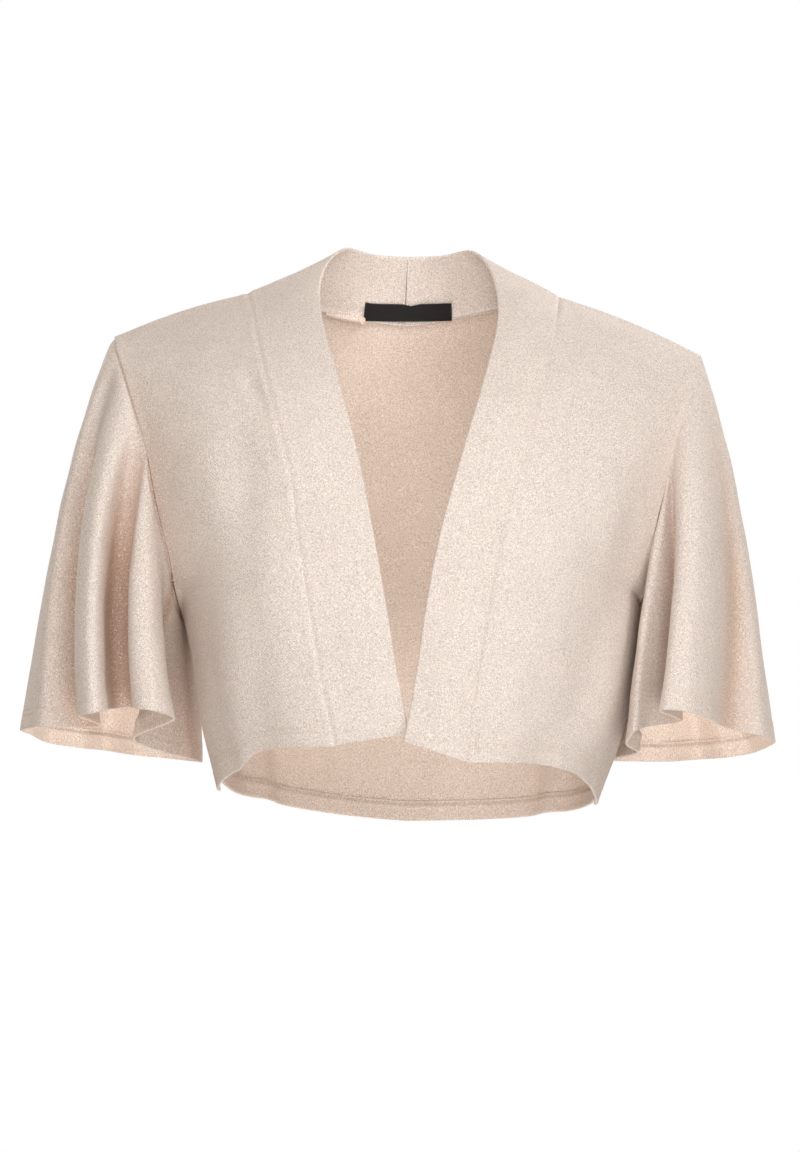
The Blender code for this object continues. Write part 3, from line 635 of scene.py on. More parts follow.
# Back neck seam from the right shoulder seam to the left one.
NECKLINE = (
    ("right shoulder", -0.113, 0.006, 0.003),
    ("right turn", -0.103, 0.028, 0.003),
    ("right hollow", -0.085, 0.046, 0.002),
    ("right back", -0.062, 0.059, -0.001),
    ("right centre", -0.035, 0.070, -0.005),
    ("centre back", 0.000, 0.075, -0.009),
    ("left centre", 0.033, 0.070, -0.005),
    ("left back", 0.060, 0.059, -0.001),
    ("left hollow", 0.081, 0.046, 0.002),
    ("left turn", 0.098, 0.028, 0.003),
    ("left shoulder", 0.107, 0.006, 0.0005),
)
FOLDS_BACK = (
    ("right back hollow", 0.30, 0.50, 0.26, -0.10, 0.045, 0.0060),
    ("centre back hollow", 0.52, 0.46, 0.54, -0.10, 0.050, 0.0050),
    ("left back hollow", 0.70, 0.52, 0.75, -0.10, 0.045, 0.0060),
)
# Finer creases of the back: name, half width, sink, then points across and up.
CREASES_BACK = (
    ("right blade", 0.0090, 0.0018, (-0.150, -0.090), (-0.120, -0.125), (-0.098, -0.170)),
    ("left blade", 0.0080, 0.0016, (0.156, -0.100), (0.126, -0.140), (0.108, -0.176)),
    ("right waist", 0.0075, 0.0018, (-0.120, -0.215), (-0.095, -0.270), (-0.082, -0.345)),
    ("left waist", 0.0085, 0.0016, (0.128, -0.225), (0.104, -0.280), (0.090, -0.350)),
    ("centre", 0.0100, -0.0014, (0.030, -0.190), (0.022, -0.260), (0.018, -0.355)),
)


def back_grid(right_front, left_front):
    sizes = numbers(BACK)
    neck = spread(numbers(NECKLINE), 2 * HALF_NECK_COLUMNS)
    top = np.concatenate([right_front[-1][::-1], neck[1:-1], left_front[-1]])
    half = len(top) // 2
    right_shares = top[: half + 1, 0] / top[0, 0]
    left_shares = top[half + 1 :, 0] / top[-1, 0]
    keys = []
    for row in sizes:
        centre = np.array([0.0, row[3], row[4]])
        right = section(centre, row[:3], row[8], BACK_BOW, BACK_RIGHT_LIFT, right_shares)
        left = section(centre, row[5:8], row[8], BACK_BOW, BACK_LEFT_LIFT, left_shares)
        keys.append(np.concatenate([right, left]))
    underarm = row_number(BACK, "underarm")
    tips = top[[0, -1]]
    right_edge = edge_line(np.concatenate([sizes[:, :3], tips[:1]]), underarm)
    left_edge = edge_line(np.concatenate([sizes[:, 5:8], tips[1:]]), underarm)
    right_edge[: SIDE_ROWS + 1] = right_front[: SIDE_ROWS + 1, -1]
    left_edge[: SIDE_ROWS + 1] = left_front[: SIDE_ROWS + 1, -1]
    grid = panel_rows(np.array([*keys, top]), underarm, {0: right_edge, -1: left_edge})
    grid = folded(grid, grid_normals(grid, 1), FOLDS_BACK)
    grid[:, 0], grid[:, -1], grid[-1] = right_edge, left_edge, top
    return grid


BACK_ROWS, BACK_COLUMNS = 84, 110
BACK_RIPPLES = (0.0008, 0.032, 7.0)
# The upper edge is carried on, turned under the band and the fronts: how far, and how much
# steeper inwards than onwards.
NECK_TURNING = 0.0024
NECK_TURNING_SLOPE = 2
back_shape = back_grid(front_shapes["front_right"], front_shapes["front_left"])
cloth = creased(back_shape, 1, CREASES_BACK)
cloth = rippled(cloth, grid_normals(cloth, 1), *BACK_RIPPLES, (0, 1, 1, 1))
cloth = relined(cloth, HEM_STEPS, SEAM_STEPS, BACK_ROWS)
cloth = turned(relined(turned(cloth), SEAM_STEPS, SEAM_STEPS, BACK_COLUMNS))
relief = hem_relief(distances(cloth, False)) + seam_relief(distances(cloth, True), *BODY_SEAM)
for side, column in (("right", 0), ("left", -1)):
    side_length = steps(back_shape[:, column])[SIDE_ROWS]
    relief += side_relief(cloth, distances_across(cloth, side == "left"), side, side_length)
cloth = raised(cloth, relief, 1)
hem_lines.append((cloth, 1, False))
inwards = -grid_normals(cloth, 1)[-1]
onwards = unit(cloth[-1] - cloth[-2])
turning = cloth[-1] + NECK_TURNING * unit(onwards + NECK_TURNING_SLOPE * inwards)
sheet = np.concatenate([hemmed(cloth, 1), turning[None]])
piece = cloth_sheet("back_cloth", sheet, 1, CLOTH, crepe_finishes, turned_rows=TURNED_ROWS)
sewn_in(piece, "back")

# The band. Each half is one strip of crepe folded in half at its free edge and sewn to the front
# and back neck, so it is double. The halves meet in a seam at the centre back.
BAND_COLUMNS = 14
BAND_CROWN = 0.0015
# Free edge of the band from the hem up the front and round to the centre back:
# name, share of the band's length, x, y, z.
BAND_EDGE_RIGHT = (
    ("hem", 0.0, -0.0005, -0.1250, -0.314),
    ("low", 0.08, -0.008, -0.129, -0.276),
    ("waist", 0.17, -0.016, -0.133, -0.227),
    ("middle", 0.26, -0.024, -0.131, -0.181),
    ("chest", 0.36, -0.035, -0.117, -0.124),
    ("upper chest", 0.46, -0.048, -0.093, -0.073),
    ("collar bone", 0.56, -0.060, -0.053, -0.025),
    ("neck front", 0.65, -0.0625, -0.020, 0.003),
    ("neck side", 0.735, -0.058, 0.016, 0.026),
    ("neck turn", 0.82, -0.046, 0.039, 0.0405),
    ("neck back", 0.91, -0.025, 0.054, 0.038),
    ("centre back", 1.0, 0.000, 0.060, 0.037),
)
BAND_EDGE_LEFT = (
    ("hem", 0.0, -0.002, -0.1295, -0.320),
    ("low", 0.08, 0.006, -0.1315, -0.275),
    ("waist", 0.17, 0.0125, -0.1330, -0.230),
    ("middle", 0.26, 0.021, -0.131, -0.185),
    ("chest", 0.36, 0.036, -0.118, -0.128),
    ("upper chest", 0.46, 0.050, -0.095, -0.079),
    ("collar bone", 0.56, 0.062, -0.055, -0.029),
    ("neck front", 0.65, 0.0625, -0.020, 0.002),
    ("neck side", 0.735, 0.057, 0.016, 0.025),
    ("neck turn", 0.82, 0.046, 0.039, 0.0385),
    ("neck back", 0.91, 0.024, 0.054, 0.037),
    ("centre back", 1.0, 0.000, 0.060, 0.037),
)
BAND_GAP = 0.0022
PINCH_REACH = 0.003
BAND_ROWS, BAND_LINES = 128, 16
BAND_HEM_STEPS = (0.0, 0.0006, 0.0013, 0.0022, 0.0032)
BAND_FOLD_STEPS = (0.0, 0.0012, 0.003)
BAND_RIPPLES = (0.0005, 0.030, 11.0)
BAND_SEAM_RIGHT = (0.0001, 0.0005)
BAND_SEAM_LEFT = (0.0006, 0.0001)
CENTRE_BACK_SEAM = (0.0008, 0.0002)


def band_grid(front, neck, edge_table):
    """Half of the band: straight across from the seam to its free edge, with a slight crown."""
    seam = np.concatenate([front[:, 0], neck[1:]])
    edges = numbers(edge_table)
    free = smooth(edges[:, 0], edges[:, 1:], steps(seam) / steps(seam)[-1])
    share = np.linspace(0, 1, BAND_COLUMNS + 1)[None, :, None]
    grid = seam[:, None] + (free - seam)[:, None] * share
    crown = BAND_CROWN * np.sin(np.pi * share)
    outwards = grid_normals(grid, np.sign(seam[0, 0]))
    _, deep, up = free[-1] - seam[-1]
    outwards[-1] = unit(np.array([0, up, -deep]))
    return grid + outwards * crown


def doubled(grid, facing):
    """The strip folded along its free edge: the outer layer, the fold, then the inner layer."""
    normals = grid_normals(grid, facing)
    radius = BAND_GAP / 2
    from_hem = distances(grid, False)[:, :, None]
    pinch = np.clip(1 - from_hem / PINCH_REACH, 0, 1) * (radius - CLOTH / 2)
    outer = grid - normals * pinch
    inner = grid - normals * (BAND_GAP - pinch)
    outwards = unit(grid[:, -1] - grid[:, -2])
    middle = grid[:, -1] - normals[:, -1] * radius
    room = radius - pinch[:, -1]
    fold = [
        middle + room * normals[:, -1] * np.cos(turn) + radius * outwards * np.sin(turn)
        for turn in np.linspace(0, np.pi, FOLD_TURNS + 1)[1:-1]
    ]
    return np.concatenate([outer, turned(np.array(fold)), inner[:, ::-1]], axis=1)


neck = back_shape[-1, SHOULDER_COLUMNS:-SHOULDER_COLUMNS]
band_shapes = {}
for name, front, neck_half, edge_table, facing, band_seam in (
    ("band_right", front_shapes["front_right"], neck[: HALF_NECK_COLUMNS + 1], BAND_EDGE_RIGHT,
     -1, BAND_SEAM_RIGHT),
    ("band_left", front_shapes["front_left"], neck[HALF_NECK_COLUMNS:][::-1], BAND_EDGE_LEFT,
     1, BAND_SEAM_LEFT),
):
    shape = band_grid(front, neck_half, edge_table)
    cloth = rippled(shape, grid_normals(shape, facing), *BAND_RIPPLES, (0, 1, 1, 0))
    cloth = relined(cloth, BAND_HEM_STEPS, SEAM_STEPS, BAND_ROWS)
    cloth = turned(relined(turned(cloth), SEAM_STEPS, BAND_FOLD_STEPS, BAND_LINES))
    band_shapes[name] = cloth
    relief = seam_relief(distances_across(cloth, False), *band_seam)
    relief += seam_relief(distances(cloth, True), *CENTRE_BACK_SEAM)
    cloth = raised(cloth, relief, facing)
    piece = cloth_sheet(name + "_cloth", doubled(cloth, facing), facing, CLOTH, crepe_finishes[:1])
    sewn_in(piece, name)

# The sleeves. Each is one flared piece of crepe closed by a short underarm seam and sewn under the
# edge of the armhole. Its flounce falls in flutes, and its hem is turned and stitched.
SLEEVE_ROWS = 70
FRONT_SPLITS = 2
BACK_SPLITS = 2
SLEEVE_FLARE = 0.15
# Lines down a sleeve, each a ridge or hollow of its flounce, from the underarm round the front to
# the shoulder (share 1) and down the back to the underarm again (share 2): name, share of the
# armhole, x and y half way down, and x, y, z at the hem.
SLEEVE_RIGHT = (
    ("underarm", 0.00, -0.154, 0.018, -0.148, 0.026, -0.3255),
    ("inner hollow", 0.20, -0.176, -0.031, -0.189, -0.023, -0.313),
    ("inner flute corner", 0.37, -0.168, -0.066, -0.159, -0.070, -0.300),
    ("inner flute", 0.46, -0.178, -0.080, -0.174, -0.089, -0.296),
    ("inner flute side", 0.53, -0.190, -0.072, -0.187, -0.076, -0.294),
    ("front hollow near", 0.58, -0.190, -0.046, -0.188, -0.036, -0.291),
    ("front hollow far", 0.635, -0.203, -0.044, -0.203, -0.034, -0.292),
    ("outer flute corner", 0.68, -0.207, -0.070, -0.205, -0.074, -0.295),
    ("outer flute", 0.74, -0.214, -0.077, -0.214, -0.088, -0.298),
    ("outer flute side", 0.80, -0.223, -0.064, -0.225, -0.070, -0.299),
    ("side hollow", 0.88, -0.222, -0.032, -0.216, -0.022, -0.304),
    ("side front", 0.94, -0.240, -0.031, -0.252, -0.037, -0.3045),
    ("shoulder", 1.00, -0.244, 0.008, -0.2695, 0.008, -0.304),
    ("side back", 1.12, -0.241, 0.036, -0.2675, 0.042, -0.306),
    ("back flute 1", 1.24, -0.230, 0.063, -0.259, 0.076, -0.310),
    ("back hollow 1", 1.36, -0.214, 0.072, -0.236, 0.078, -0.3138),
    ("back flute 2", 1.48, -0.204, 0.085, -0.219, 0.100, -0.3148),
    ("back hollow 2", 1.61, -0.187, 0.078, -0.195, 0.084, -0.319),
    ("back flute 3", 1.74, -0.172, 0.070, -0.174, 0.083, -0.321),
    ("back inner", 1.88, -0.150, 0.056, -0.148, 0.058, -0.325),
)
SLEEVE_LEFT = (
    ("underarm", 0.00, 0.154, 0.020, 0.1425, 0.026, -0.324),
    ("inner hollow", 0.18, 0.163, -0.026, 0.158, -0.026, -0.322),
    ("inner flute corner", 0.33, 0.157, -0.056, 0.149, -0.050, -0.316),
    ("inner flute", 0.42, 0.161, -0.071, 0.155, -0.069, -0.309),
    ("inner flute side", 0.49, 0.1715, -0.066, 0.167, -0.053, -0.305),
    ("front hollow", 0.555, 0.184, -0.054, 0.187, -0.040, -0.301),
    ("outer flute corner", 0.61, 0.181, -0.078, 0.170, -0.087, -0.297),
    ("outer flute", 0.70, 0.193, -0.084, 0.185, -0.099, -0.297),
    ("outer flute side", 0.78, 0.206, -0.072, 0.203, -0.080, -0.301),
    ("side hollow", 0.87, 0.222, -0.040, 0.220, -0.040, -0.306),
    ("side front", 0.94, 0.233, -0.024, 0.246, -0.028, -0.311),
    ("shoulder", 1.00, 0.234, 0.008, 0.2565, 0.008, -0.312),
    ("side back", 1.12, 0.231, 0.036, 0.255, 0.042, -0.315),
    ("back flute 1", 1.24, 0.222, 0.063, 0.246, 0.074, -0.318),
    ("back hollow 1", 1.36, 0.209, 0.071, 0.226, 0.078, -0.321),
    ("back flute 2", 1.48, 0.199, 0.083, 0.210, 0.098, -0.3213),
    ("back hollow 2", 1.61, 0.184, 0.077, 0.187, 0.084, -0.3235),
    ("back flute 3", 1.74, 0.170, 0.070, 0.168, 0.082, -0.3234),
    ("back inner", 1.88, 0.151, 0.056, 0.143, 0.058, -0.324),
)
SLEEVE_LINES = 74
SLEEVE_RIPPLES = (0.0007, 0.030, 17.0)
# The last rows of a sleeve go on past its seam, under the body: how far, and how much of that
# goes onwards.
SEAM_TURNING = (0.0018, 0.0045)
TURNING_ONWARDS = 0.3
# How dark the painted shade in the flounce's hollows is, and their width as a share of the armhole. The
# painted shade starts at a height and is full a fade below it. Less of it is behind.
PAINTED_HOLLOW_SHADE = {"sleeve_right": 1.12, "sleeve_left": 0.85}
PAINTED_HOLLOW_SHADE_WIDTH = 0.036
PAINTED_HOLLOW_SHADE_TOP = -0.085
PAINTED_HOLLOW_SHADE_FADE = 0.12
PAINTED_HOLLOW_SHADE_BEHIND = 0.25
# How dark the painted shade is beside the underarm seam, where the sleeve lies in shade against the
# body, and in the armhole seam, and how far from them it reaches.
PAINTED_UNDERARM_SHADE = 0.85
PAINTED_UNDERARM_SHADE_REACH = 0.040
PAINTED_SEAM_SHADE = 2.0
PAINTED_SEAM_SHADE_WIDTH = 0.0016


def armhole_ring(front, back_edge):
    """The armhole from the underarm up the front and down the back, each panel's edge split
    evenly, with the share of the way round at each point."""
    front_edge = front[SIDE_ROWS:, -1]
    back_edge = back_edge[SIDE_ROWS:][::-1]
    ring, shares = [], []
    for turn, edge, splits in ((0, front_edge, FRONT_SPLITS), (1, back_edge, BACK_SPLITS)):
        length = steps(edge) / steps(edge)[-1]
        fine = np.arange(0, ARMHOLE_ROWS * splits) / splits
        ring.append(straight(range(ARMHOLE_ROWS + 1), edge, fine))
        shares.append(turn + np.interp(fine, range(ARMHOLE_ROWS + 1), length))
    return np.concatenate([*ring, front_edge[:1]]), np.concatenate([*shares, [2.0]])


def sleeve_grid(ring, shares, table):
    """A sleeve: every line of its flounce runs from the armhole through the half-way point to the
    hem, and smooth curves join the lines round the arm."""
    sizes = numbers(table)
    around = np.concatenate([sizes[-3:], sizes, sizes[:3]])
    around[:3, 0] -= 2
    around[-3:, 0] += 2
    lines = smooth(around[:, 0], around[:, 1:], shares)
    middle, hem = lines[:, :2], lines[:, 2:]
    down = np.linspace(0, 1, SLEEVE_ROWS + 1)[:, None]
    flare = (down ** (1 - SLEEVE_FLARE * np.sin(np.pi / 2 * shares) ** 2))[:, :, None]
    flat = (1 - flare) * (1 - 2 * flare) * ring[:, :2] + 4 * flare * (1 - flare) * middle
    flat += flare * (2 * flare - 1) * hem[:, :2]
    heights = ring[:, 2] + (hem[:, 2] - ring[:, 2]) * down
    return np.concatenate([flat, heights[:, :, None]], axis=2)


def tucked(grid, facing):
    """The grid with its last row carried on past the seam, as turnings that lie under the body."""
    normals = grid_normals(grid, facing, True)[-1]
    onwards = unit(grid[-1] - grid[-2])
    inwards = grid[-1].mean(axis=0) - grid[-1]
    way = unit(TURNING_ONWARDS * onwards + unit(inwards) - normals)
    rows = [grid[-1] + size * way for size in SEAM_TURNING]
    return np.concatenate([grid, np.array(rows)])


def painted_shade_of_hollows(cloth, shares, table, strength):
    """The painted shade of the table's hollows at each point: strongest along a hollow's line, from 0
    at the armhole to full below. The hollows behind get less of it."""
    near = [(PAINTED_HOLLOW_SHADE_BEHIND if share > 1 else 1) * np.exp(-(((shares - share) / PAINTED_HOLLOW_SHADE_WIDTH) ** 2))
            for name, share, *_ in table if "hollow" in name]
    fade = np.clip((PAINTED_HOLLOW_SHADE_TOP - cloth[:, :, 2]) / PAINTED_HOLLOW_SHADE_FADE, 0, 1)
    return strength * np.clip(sum(near), 0, 1) * fade


for name, front, back_edge, table, facing in (
    ("sleeve_right", front_shapes["front_right"], back_shape[:, 0], SLEEVE_RIGHT, -1),
    ("sleeve_left", front_shapes["front_left"], back_shape[:, -1], SLEEVE_LEFT, 1),
):
    side = name.split("_")[1]
    ring, shares = armhole_ring(front, back_edge)
    cloth = sleeve_grid(ring, shares, table)
    cloth = rippled(cloth, grid_normals(cloth, facing, True), *SLEEVE_RIPPLES, (1, 0, 0, 0))
    cloth = relined(cloth[::-1], HEM_STEPS, SEAM_STEPS, SLEEVE_LINES)
    relief = hem_relief(distances(cloth, False))
    relief += lap_relief(cloth, distances(cloth, True), side, *SLEEVE_LAP)
    cloth = raised(cloth, relief, -facing, True)
    hem_lines.append((cloth, -facing, True))
    # Painted shade in the flounce's hollows, beside the underarm seam and in the armhole seam's groove.
    underarm = np.minimum(distances_across(cloth, False), distances_across(cloth, True))
    painted_shade = painted_shade_of_hollows(cloth, shares, table, PAINTED_HOLLOW_SHADE[name])
    painted_shade = np.maximum(painted_shade, PAINTED_UNDERARM_SHADE * np.exp(-underarm / PAINTED_UNDERARM_SHADE_REACH))
    # A dark painted shade line in the armhole seam's groove, where shade falls under the body's edge.
    seam = PAINTED_SEAM_SHADE * np.exp(-((distances(cloth, True) / PAINTED_SEAM_SHADE_WIDTH) ** 2))
    painted_shade += lap_strength(cloth, side) * seam
    sheet = tucked(hemmed(cloth, -facing, True), -facing)
    painted_shade = np.pad(painted_shade, ((0, len(SEAM_TURNING)), (0, 0)), mode="edge")
    piece = cloth_sheet(name + "_cloth", sheet, -facing, CLOTH, crepe_finishes, True, TURNED_ROWS,
                        painted_shade)
    sewn_in(piece, name)

# The neck turning. Beside the label the turnings of the neck seam roll out a little inside the
# neck, a soft ridge of the crepe's wrong side that ends in a tuck at the label.
ROLL_PLACES = (-0.0600, -0.0520, -0.0440, -0.0370, -0.0345, -0.0318)
ROLL_SIZES = (0.0009, 0.0019, 0.0020, 0.0021, 0.0034, 0.0024)
ROLL_COLUMNS, ROLL_TURNS = 48, 12
ROLL_DROP = 0.0016
ROLL_TURN = 1.9
# The band's rows round the back neck, and the line of points that lies a little above its seam.
NECK_ROWS = slice(-60, None)
ABOVE_SEAM = 4
neck_side = band_shapes["band_right"][NECK_ROWS]
ups = unit(neck_side[:, ABOVE_SEAM] - neck_side[:, 0])
outs = grid_normals(band_shapes["band_right"], -1)[NECK_ROWS, 0]
line = neck_side[:, 0] - outs * (BAND_GAP + CLOTH)
wanted = np.linspace(ROLL_PLACES[0], ROLL_PLACES[-1], ROLL_COLUMNS + 1)
line, ups, outs = (straight(neck_side[:, 0, 0], rows, wanted) for rows in (line, ups, outs))
sizes = smooth(np.array(ROLL_PLACES), np.array(ROLL_SIZES)[:, None], wanted)
roll = np.array([line - ROLL_DROP * ups + sizes * (np.sin(turn) * ups - np.cos(turn) * outs)
                 for turn in np.linspace(-ROLL_TURN, ROLL_TURN, ROLL_TURNS + 1)])
piece = cloth_sheet("neck_turning", roll, 1, CLOTH / 2, crepe_finishes[1:])
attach(piece, "root")

# The neck label. A small black woven tape, left bare, sewn flat inside the back neck across the
# centre seam of the band and a little way down the back.
LABEL_CLOTH = 0.0005
LABEL_HALF_WIDTH = 0.0325
LABEL_LOW, LABEL_HIGH = -0.0075, 0.0045
LABEL_COLUMNS, LABEL_ROWS = 66, 14
LABEL_CLEARANCE = 0.0004
# The dip of its upper edge at the band's seam: depth, half width and place across. Its right end
# rises by a corner, over the last part of its half width.
LABEL_DIP, LABEL_DIP_WIDTH, LABEL_DIP_PLACE = 0.0013, 0.007, 0.002
LABEL_CORNER, LABEL_CORNER_PART = 0.0007, 0.2


def label_grid(right_band, left_band):
    """The label's points: a little inside the band, across its centre back seam."""
    both = np.concatenate([right_band[NECK_ROWS], left_band[NECK_ROWS][-2::-1]])
    normals = np.concatenate([
        grid_normals(right_band, -1)[NECK_ROWS], grid_normals(left_band, 1)[NECK_ROWS][-2::-1]
    ])
    inside = both - normals * (BAND_GAP + CLOTH + LABEL_CLEARANCE)
    wanted = np.linspace(-LABEL_HALF_WIDTH, LABEL_HALF_WIDTH, LABEL_COLUMNS + 1)
    across = straight(both[:, 0, 0], inside, wanted)
    seam, free = across[:, 0], across[:, -1]
    beside_dip = np.abs(wanted - LABEL_DIP_PLACE) / LABEL_DIP_WIDTH
    past = -1 - (1 + LABEL_CORNER_PART) * wanted / LABEL_HALF_WIDTH
    top = LABEL_HIGH - LABEL_DIP * np.clip(1 - beside_dip, 0, 1)
    top += LABEL_CORNER * np.clip(past, 0, 1) / LABEL_CORNER_PART
    heights = LABEL_LOW + np.linspace(0, 1, LABEL_ROWS + 1)[:, None] * (top - LABEL_LOW)
    share = (heights - seam[:, 2]) / (free - seam)[:, 2]
    return seam + share[:, :, None] * (free - seam)


def label_tape():
    """Smooth black woven tape: fine ribs across it and a low satin shine."""
    material, nodes, links, shader = new_finish("label_tape")
    with_inputs(shader, Roughness=0.62, Specular_IOR_Level=0.3)
    place = nodes.new("ShaderNodeTexCoord")
    weave = with_inputs(nodes.new("ShaderNodeTexWave"), Scale=900, Distortion=0.6)
    weave.bands_direction = "Y"
    tone = colour_ramp(nodes, (0, (0.003, 0.003, 0.003)), (1, (0.010, 0.010, 0.009)))
    bump = with_inputs(nodes.new("ShaderNodeBump"), Strength=0.3, Distance=0.0002)
    wire(links, (place, "UV", weave, "Vector"), (weave, "Fac", tone, "Fac"),
         (tone, "Color", shader, "Base Color"), (weave, "Fac", bump, "Height"),
         (bump, "Normal", shader, "Normal"))
    return material


label = label_grid(band_shapes["band_right"], band_shapes["band_left"])
piece = cloth_sheet("neck_label_tape", label, -1, LABEL_CLOTH, (label_tape(),))
sewn_in(piece, "neck_label")

# The hem stitching. Two rows of matching thread hold each turned hem, drawn slightly into the
# cloth, with a zigzag between them on the inside.
STITCH_PITCH = 0.0029
STITCH_LENGTH = 0.0022
STITCH_MARGIN = 0.0015
THREAD_RADIUS = 0.00022
THREAD_CLEARANCE = 0.0001
THREAD_COLOUR = (0.80, 0.68, 0.58)
THREAD_DARK = 0.8
# A stitch from end to end: share of its length, how far its middle stands above the cloth, and
# how thick it is, both in radii of the thread.
STITCH_PROFILE = ((0.0, -0.5, 0.5), (0.25, 0.8, 1.0), (0.75, 0.8, 1.0), (1.0, -0.5, 0.5))
STITCH_SIDES = 4


def thread(name, colour):
    """Matt thread with slightly darker fibres."""
    material, nodes, links, shader = new_finish(name)
    with_inputs(shader, Roughness=0.5)
    place = nodes.new("ShaderNodeTexCoord")
    fibres = with_inputs(nodes.new("ShaderNodeTexNoise"), Scale=1500)
    tone = colour_ramp(nodes, (0, [THREAD_DARK * value for value in colour]), (1, colour))
    wire(links, (place, "Object", fibres, "Vector"), (fibres, "Fac", tone, "Fac"),
         (tone, "Color", shader, "Base Color"))
    return material


def stitched(name, runs, material):
    """One piece of short thread stitches. Each run is two lines of points, where its stitches start
    and end, and the cloth's normals there. A stitch is a row of square rings, closed at its ends."""
    corners = len(STITCH_PROFILE) * STITCH_SIDES
    k = np.arange(STITCH_SIDES)
    after = (k + 1) % STITCH_SIDES
    walls = [np.stack([ring + k, ring + after, ring + STITCH_SIDES + after, ring + STITCH_SIDES + k]).T
             for ring in range(0, corners - STITCH_SIDES, STITCH_SIDES)]
    quads = np.concatenate([*walls, [k[::-1]], [corners - STITCH_SIDES + k]])
    places, faces = [], []
    for starts, ends, normals in runs:
        side = unit(np.cross(unit(ends - starts), normals))
        first = sum(len(part) for part in places)
        rings = []
        for share, lift, size in STITCH_PROFILE:
            middle = starts + (ends - starts) * share + normals * THREAD_RADIUS * lift
            radius = THREAD_RADIUS * size
            rings.append(np.stack([middle + radius * side, middle + radius * normals,
                                   middle - radius * side, middle - radius * normals], axis=1))
        places.append(np.stack(rings, axis=1).reshape(-1, 3))
        bases = first + corners * np.arange(len(starts))[:, None, None]
        faces.append((bases + quads).reshape(-1, STITCH_SIDES))
    mesh = bpy.data.meshes.new(name)
    mesh.from_pydata(np.concatenate(places).tolist(), [], np.concatenate(faces).tolist())
    mesh.materials.append(material)
    mesh.shade_smooth()
    piece = placed(name, mesh)
    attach(piece, "root")


def stitch_places(line, normals, pitch):
    """Points and normals at even steps along a line."""
    along = steps(line)
    wanted = np.arange(STITCH_MARGIN, along[-1] - STITCH_MARGIN, pitch)
    return straight(along, line, wanted), unit(straight(along, normals, wanted))


hem_thread = thread("hem_thread", THREAD_COLOUR)
outer_runs, inner_runs = [], []
for cloth, facing, closed in hem_lines:
    normals = grid_normals(cloth, facing, closed)
    zigzag = []
    for stitch in HEM_STITCHES:
        row = HEM_STEPS.index(stitch)
        points, ups = stitch_places(cloth[row], normals[row], STITCH_PITCH)
        starts, reach = points[:-1], np.diff(points, axis=0) * STITCH_LENGTH / STITCH_PITCH
        outer_runs.append((starts, starts + reach, ups[:-1]))
        inside = cloth[row] - normals[row] * (2 * HEM_RADIUS + THREAD_CLEARANCE)
        zigzag.append(stitch_places(inside, -normals[row], STITCH_PITCH / 2))
    count = min(len(points) for points, _ in zigzag) - 1
    (low, low_ups), (high, _) = zigzag
    even = np.arange(0, count - 1, 2)
    inner_runs.append((low[even], high[even + 1], low_ups[even]))
    inner_runs.append((high[even + 1], low[even + 2], low_ups[even]))

# The left band seam ends in two short upright rows of stitches and a bar across them: the rows
# and columns of the left front's points that each of the three follows.
SEAM_END_LINES = ((slice(2, 13), 5), (slice(2, 13), 6), (5, slice(3, 9)))
cloth, facing, _ = hem_lines[1]
normals = grid_normals(cloth, facing)
for line in SEAM_END_LINES:
    points, ups = stitch_places(cloth[line], normals[line], STITCH_PITCH / 2)
    outer_runs.append((points[:-1], points[1:], ups[:-1]))
stitched("hem_stitches_outside", outer_runs, hem_thread)
stitched("hem_stitches_inside", inner_runs, hem_thread)

# The studio: a plain pale floor far below, a white surround, soft lights in front, behind and
# inside, and a camera a little below the jacket, which looks up at it as the photograph does.
FLOOR_HEIGHT = -1.35
CAMERA_TARGET = Vector((-0.0056, 0.0, -0.198))
CAMERA_DISTANCE = 2.8
CAMERA_RISE = np.radians(5)
CAMERA_LENS = 125
CAMERA_SENSOR = 36

bpy.ops.mesh.primitive_circle_add(
    vertices=96, radius=5, fill_type="NGON", location=(0, 0, FLOOR_HEIGHT)
)
floor = bpy.context.object
floor.name = "floor"
bpy.ops.object.transform_apply(location=True)
paint, _, _, shader = new_finish("floor_white")
with_inputs(shader, Base_Color=(0.9, 0.9, 0.9, 1), Roughness=0.9)
floor.data.materials.append(paint)

# The soft lights: name, place, width and height, and watts. Three stand in front, one at the
# right, one above and one below, and two stand behind, for the views from there.
SOFT_LIGHTS = (
    ("key", (2.1, -1.9, 1.5), (0.9, 0.9), 36),
    ("fill", (-0.6, -2.1, 2.0), (1.2, 1.2), 34),
    ("low", (0.1, -2.1, -1.15), (1.2, 0.9), 23),
    ("rear", (1.3, 2.0, 1.5), (1.3, 1.3), 34),
    ("rear_fill", (-1.5, 2.0, 0.9), (1.3, 1.3), 19),
)
# A soft spot from beside the camera, narrow across, on the middle of the jacket.
SPOT_PLACE, SPOT_AIM = Vector((0.02, -2.75, -0.25)), Vector((-0.005, 0, -0.03))
SPOT_POWER = 12
SPOT_DEGREES = 14
SPOT_RADIUS = 0.04
SPOT_SHAPE = (0.6, 1, 1)
# Small fills that hang inside the body and the sleeves and light only the inside of the cloth
# behind them: name, place, width and height, watts, what each is aimed at, and spread in degrees.
INNER_LIGHTS = (
    ("inside", (-0.05, -0.01, -0.17), (0.06, 0.26), 0.028, (-0.055, 0.1, -0.18), 110),
    ("inside_neck", (-0.005, -0.05, 0.012), (0.08, 0.02), 0.014, (-0.005, 0.06, -0.02), 120),
    ("inside_sleeve_right", (-0.215, -0.01, -0.26), (0.05, 0.08), 0.034, (-0.215, 0.1, -0.31), 180),
    ("inside_sleeve_left", (0.205, -0.01, -0.26), (0.05, 0.08), 0.034, (0.205, 0.1, -0.31), 180),
)
INNER_WARMTH = (1.0, 0.96, 0.91)
SURROUND_GLOW = (1, 0.80, 0.62, 1)
SURROUND_STRENGTH = 0.27


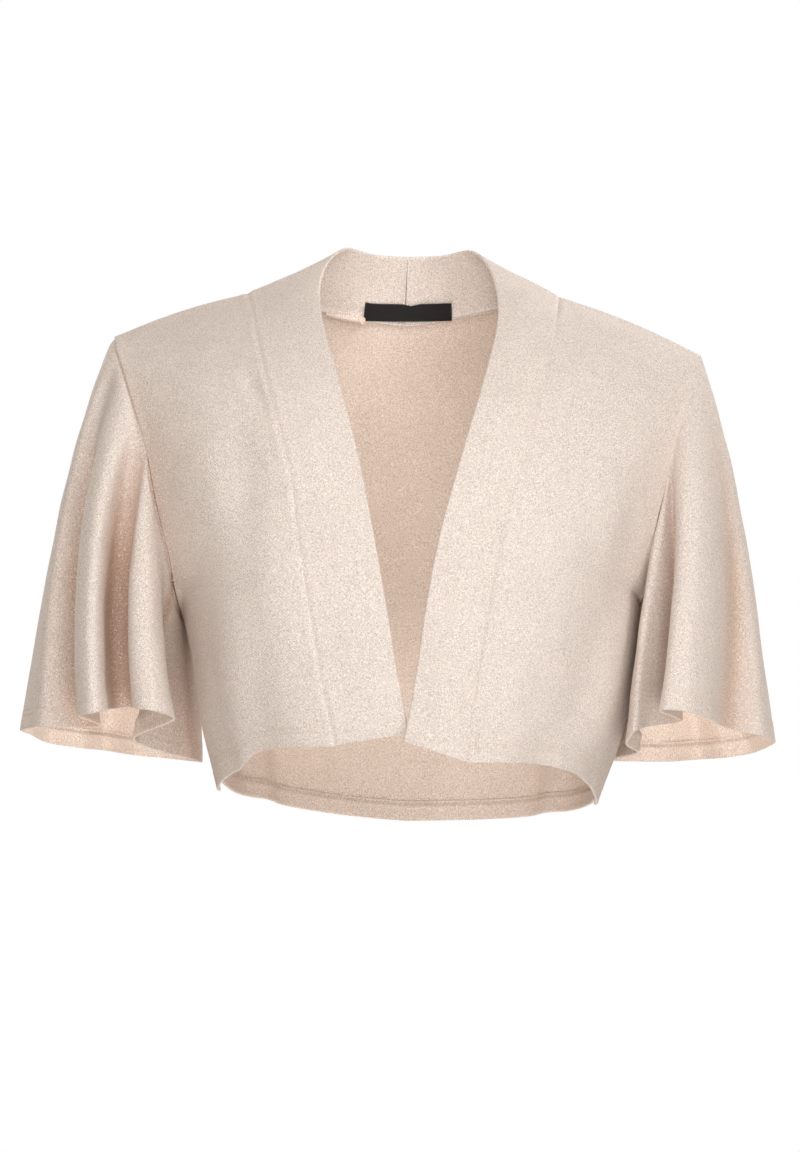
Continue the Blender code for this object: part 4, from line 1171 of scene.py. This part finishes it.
def soft_light(name, place, size, power, aim=CAMERA_TARGET, spread=180, colour=(1.0, 1.0, 1.0)):
    lamp = bpy.data.lights.new(name, "AREA")
    lamp.spread = np.radians(spread)
    lamp.shape = "RECTANGLE"
    lamp.size, lamp.size_y = size
    lamp.energy = power
    lamp.color = colour
    light = placed(name, lamp)
    light.location = place
    light.rotation_euler = (Vector(aim) - Vector(place)).to_track_quat("-Z", "Y").to_euler()
    light.visible_camera = False


for row in SOFT_LIGHTS:
    soft_light(*row)

spot = bpy.data.lights.new("centre", "SPOT")
spot.energy = SPOT_POWER
spot.spot_size = np.radians(SPOT_DEGREES)
spot.spot_blend = 1.0
spot.shadow_soft_size = SPOT_RADIUS
centre = placed("centre", spot)
centre.location = SPOT_PLACE
centre.rotation_euler = (SPOT_AIM - SPOT_PLACE).to_track_quat("-Z", "Y").to_euler()
centre.scale = SPOT_SHAPE

for row in INNER_LIGHTS:
    soft_light(*row, INNER_WARMTH)

world = bpy.data.worlds.new("surround")
bpy.context.scene.world = world
world.use_nodes = True
nodes, links = world.node_tree.nodes, world.node_tree.links
seen = with_inputs(nodes["Background"], Color=(1, 1, 1, 1), Strength=1.0)
around = with_inputs(nodes.new("ShaderNodeBackground"), Color=SURROUND_GLOW,
                     Strength=SURROUND_STRENGTH)
path = nodes.new("ShaderNodeLightPath")
either = nodes.new("ShaderNodeMixShader")
wire(links, (path, "Is Camera Ray", either, "Fac"), (around, "Background", either, 1),
     (seen, "Background", either, 2), (either, "Shader", nodes["World Output"], "Surface"))

bpy.context.scene.view_settings.view_transform = "Standard"

camera = placed("camera", bpy.data.cameras.new("camera"))
view = Vector((0, np.cos(CAMERA_RISE), np.sin(CAMERA_RISE)))
camera.location = CAMERA_TARGET - CAMERA_DISTANCE * view
camera.rotation_euler = view.to_track_quat("-Z", "Y").to_euler()
camera.data.lens = CAMERA_LENS
camera.data.sensor_fit = "VERTICAL"
camera.data.sensor_height = CAMERA_SENSOR
bpy.context.scene.camera = camera
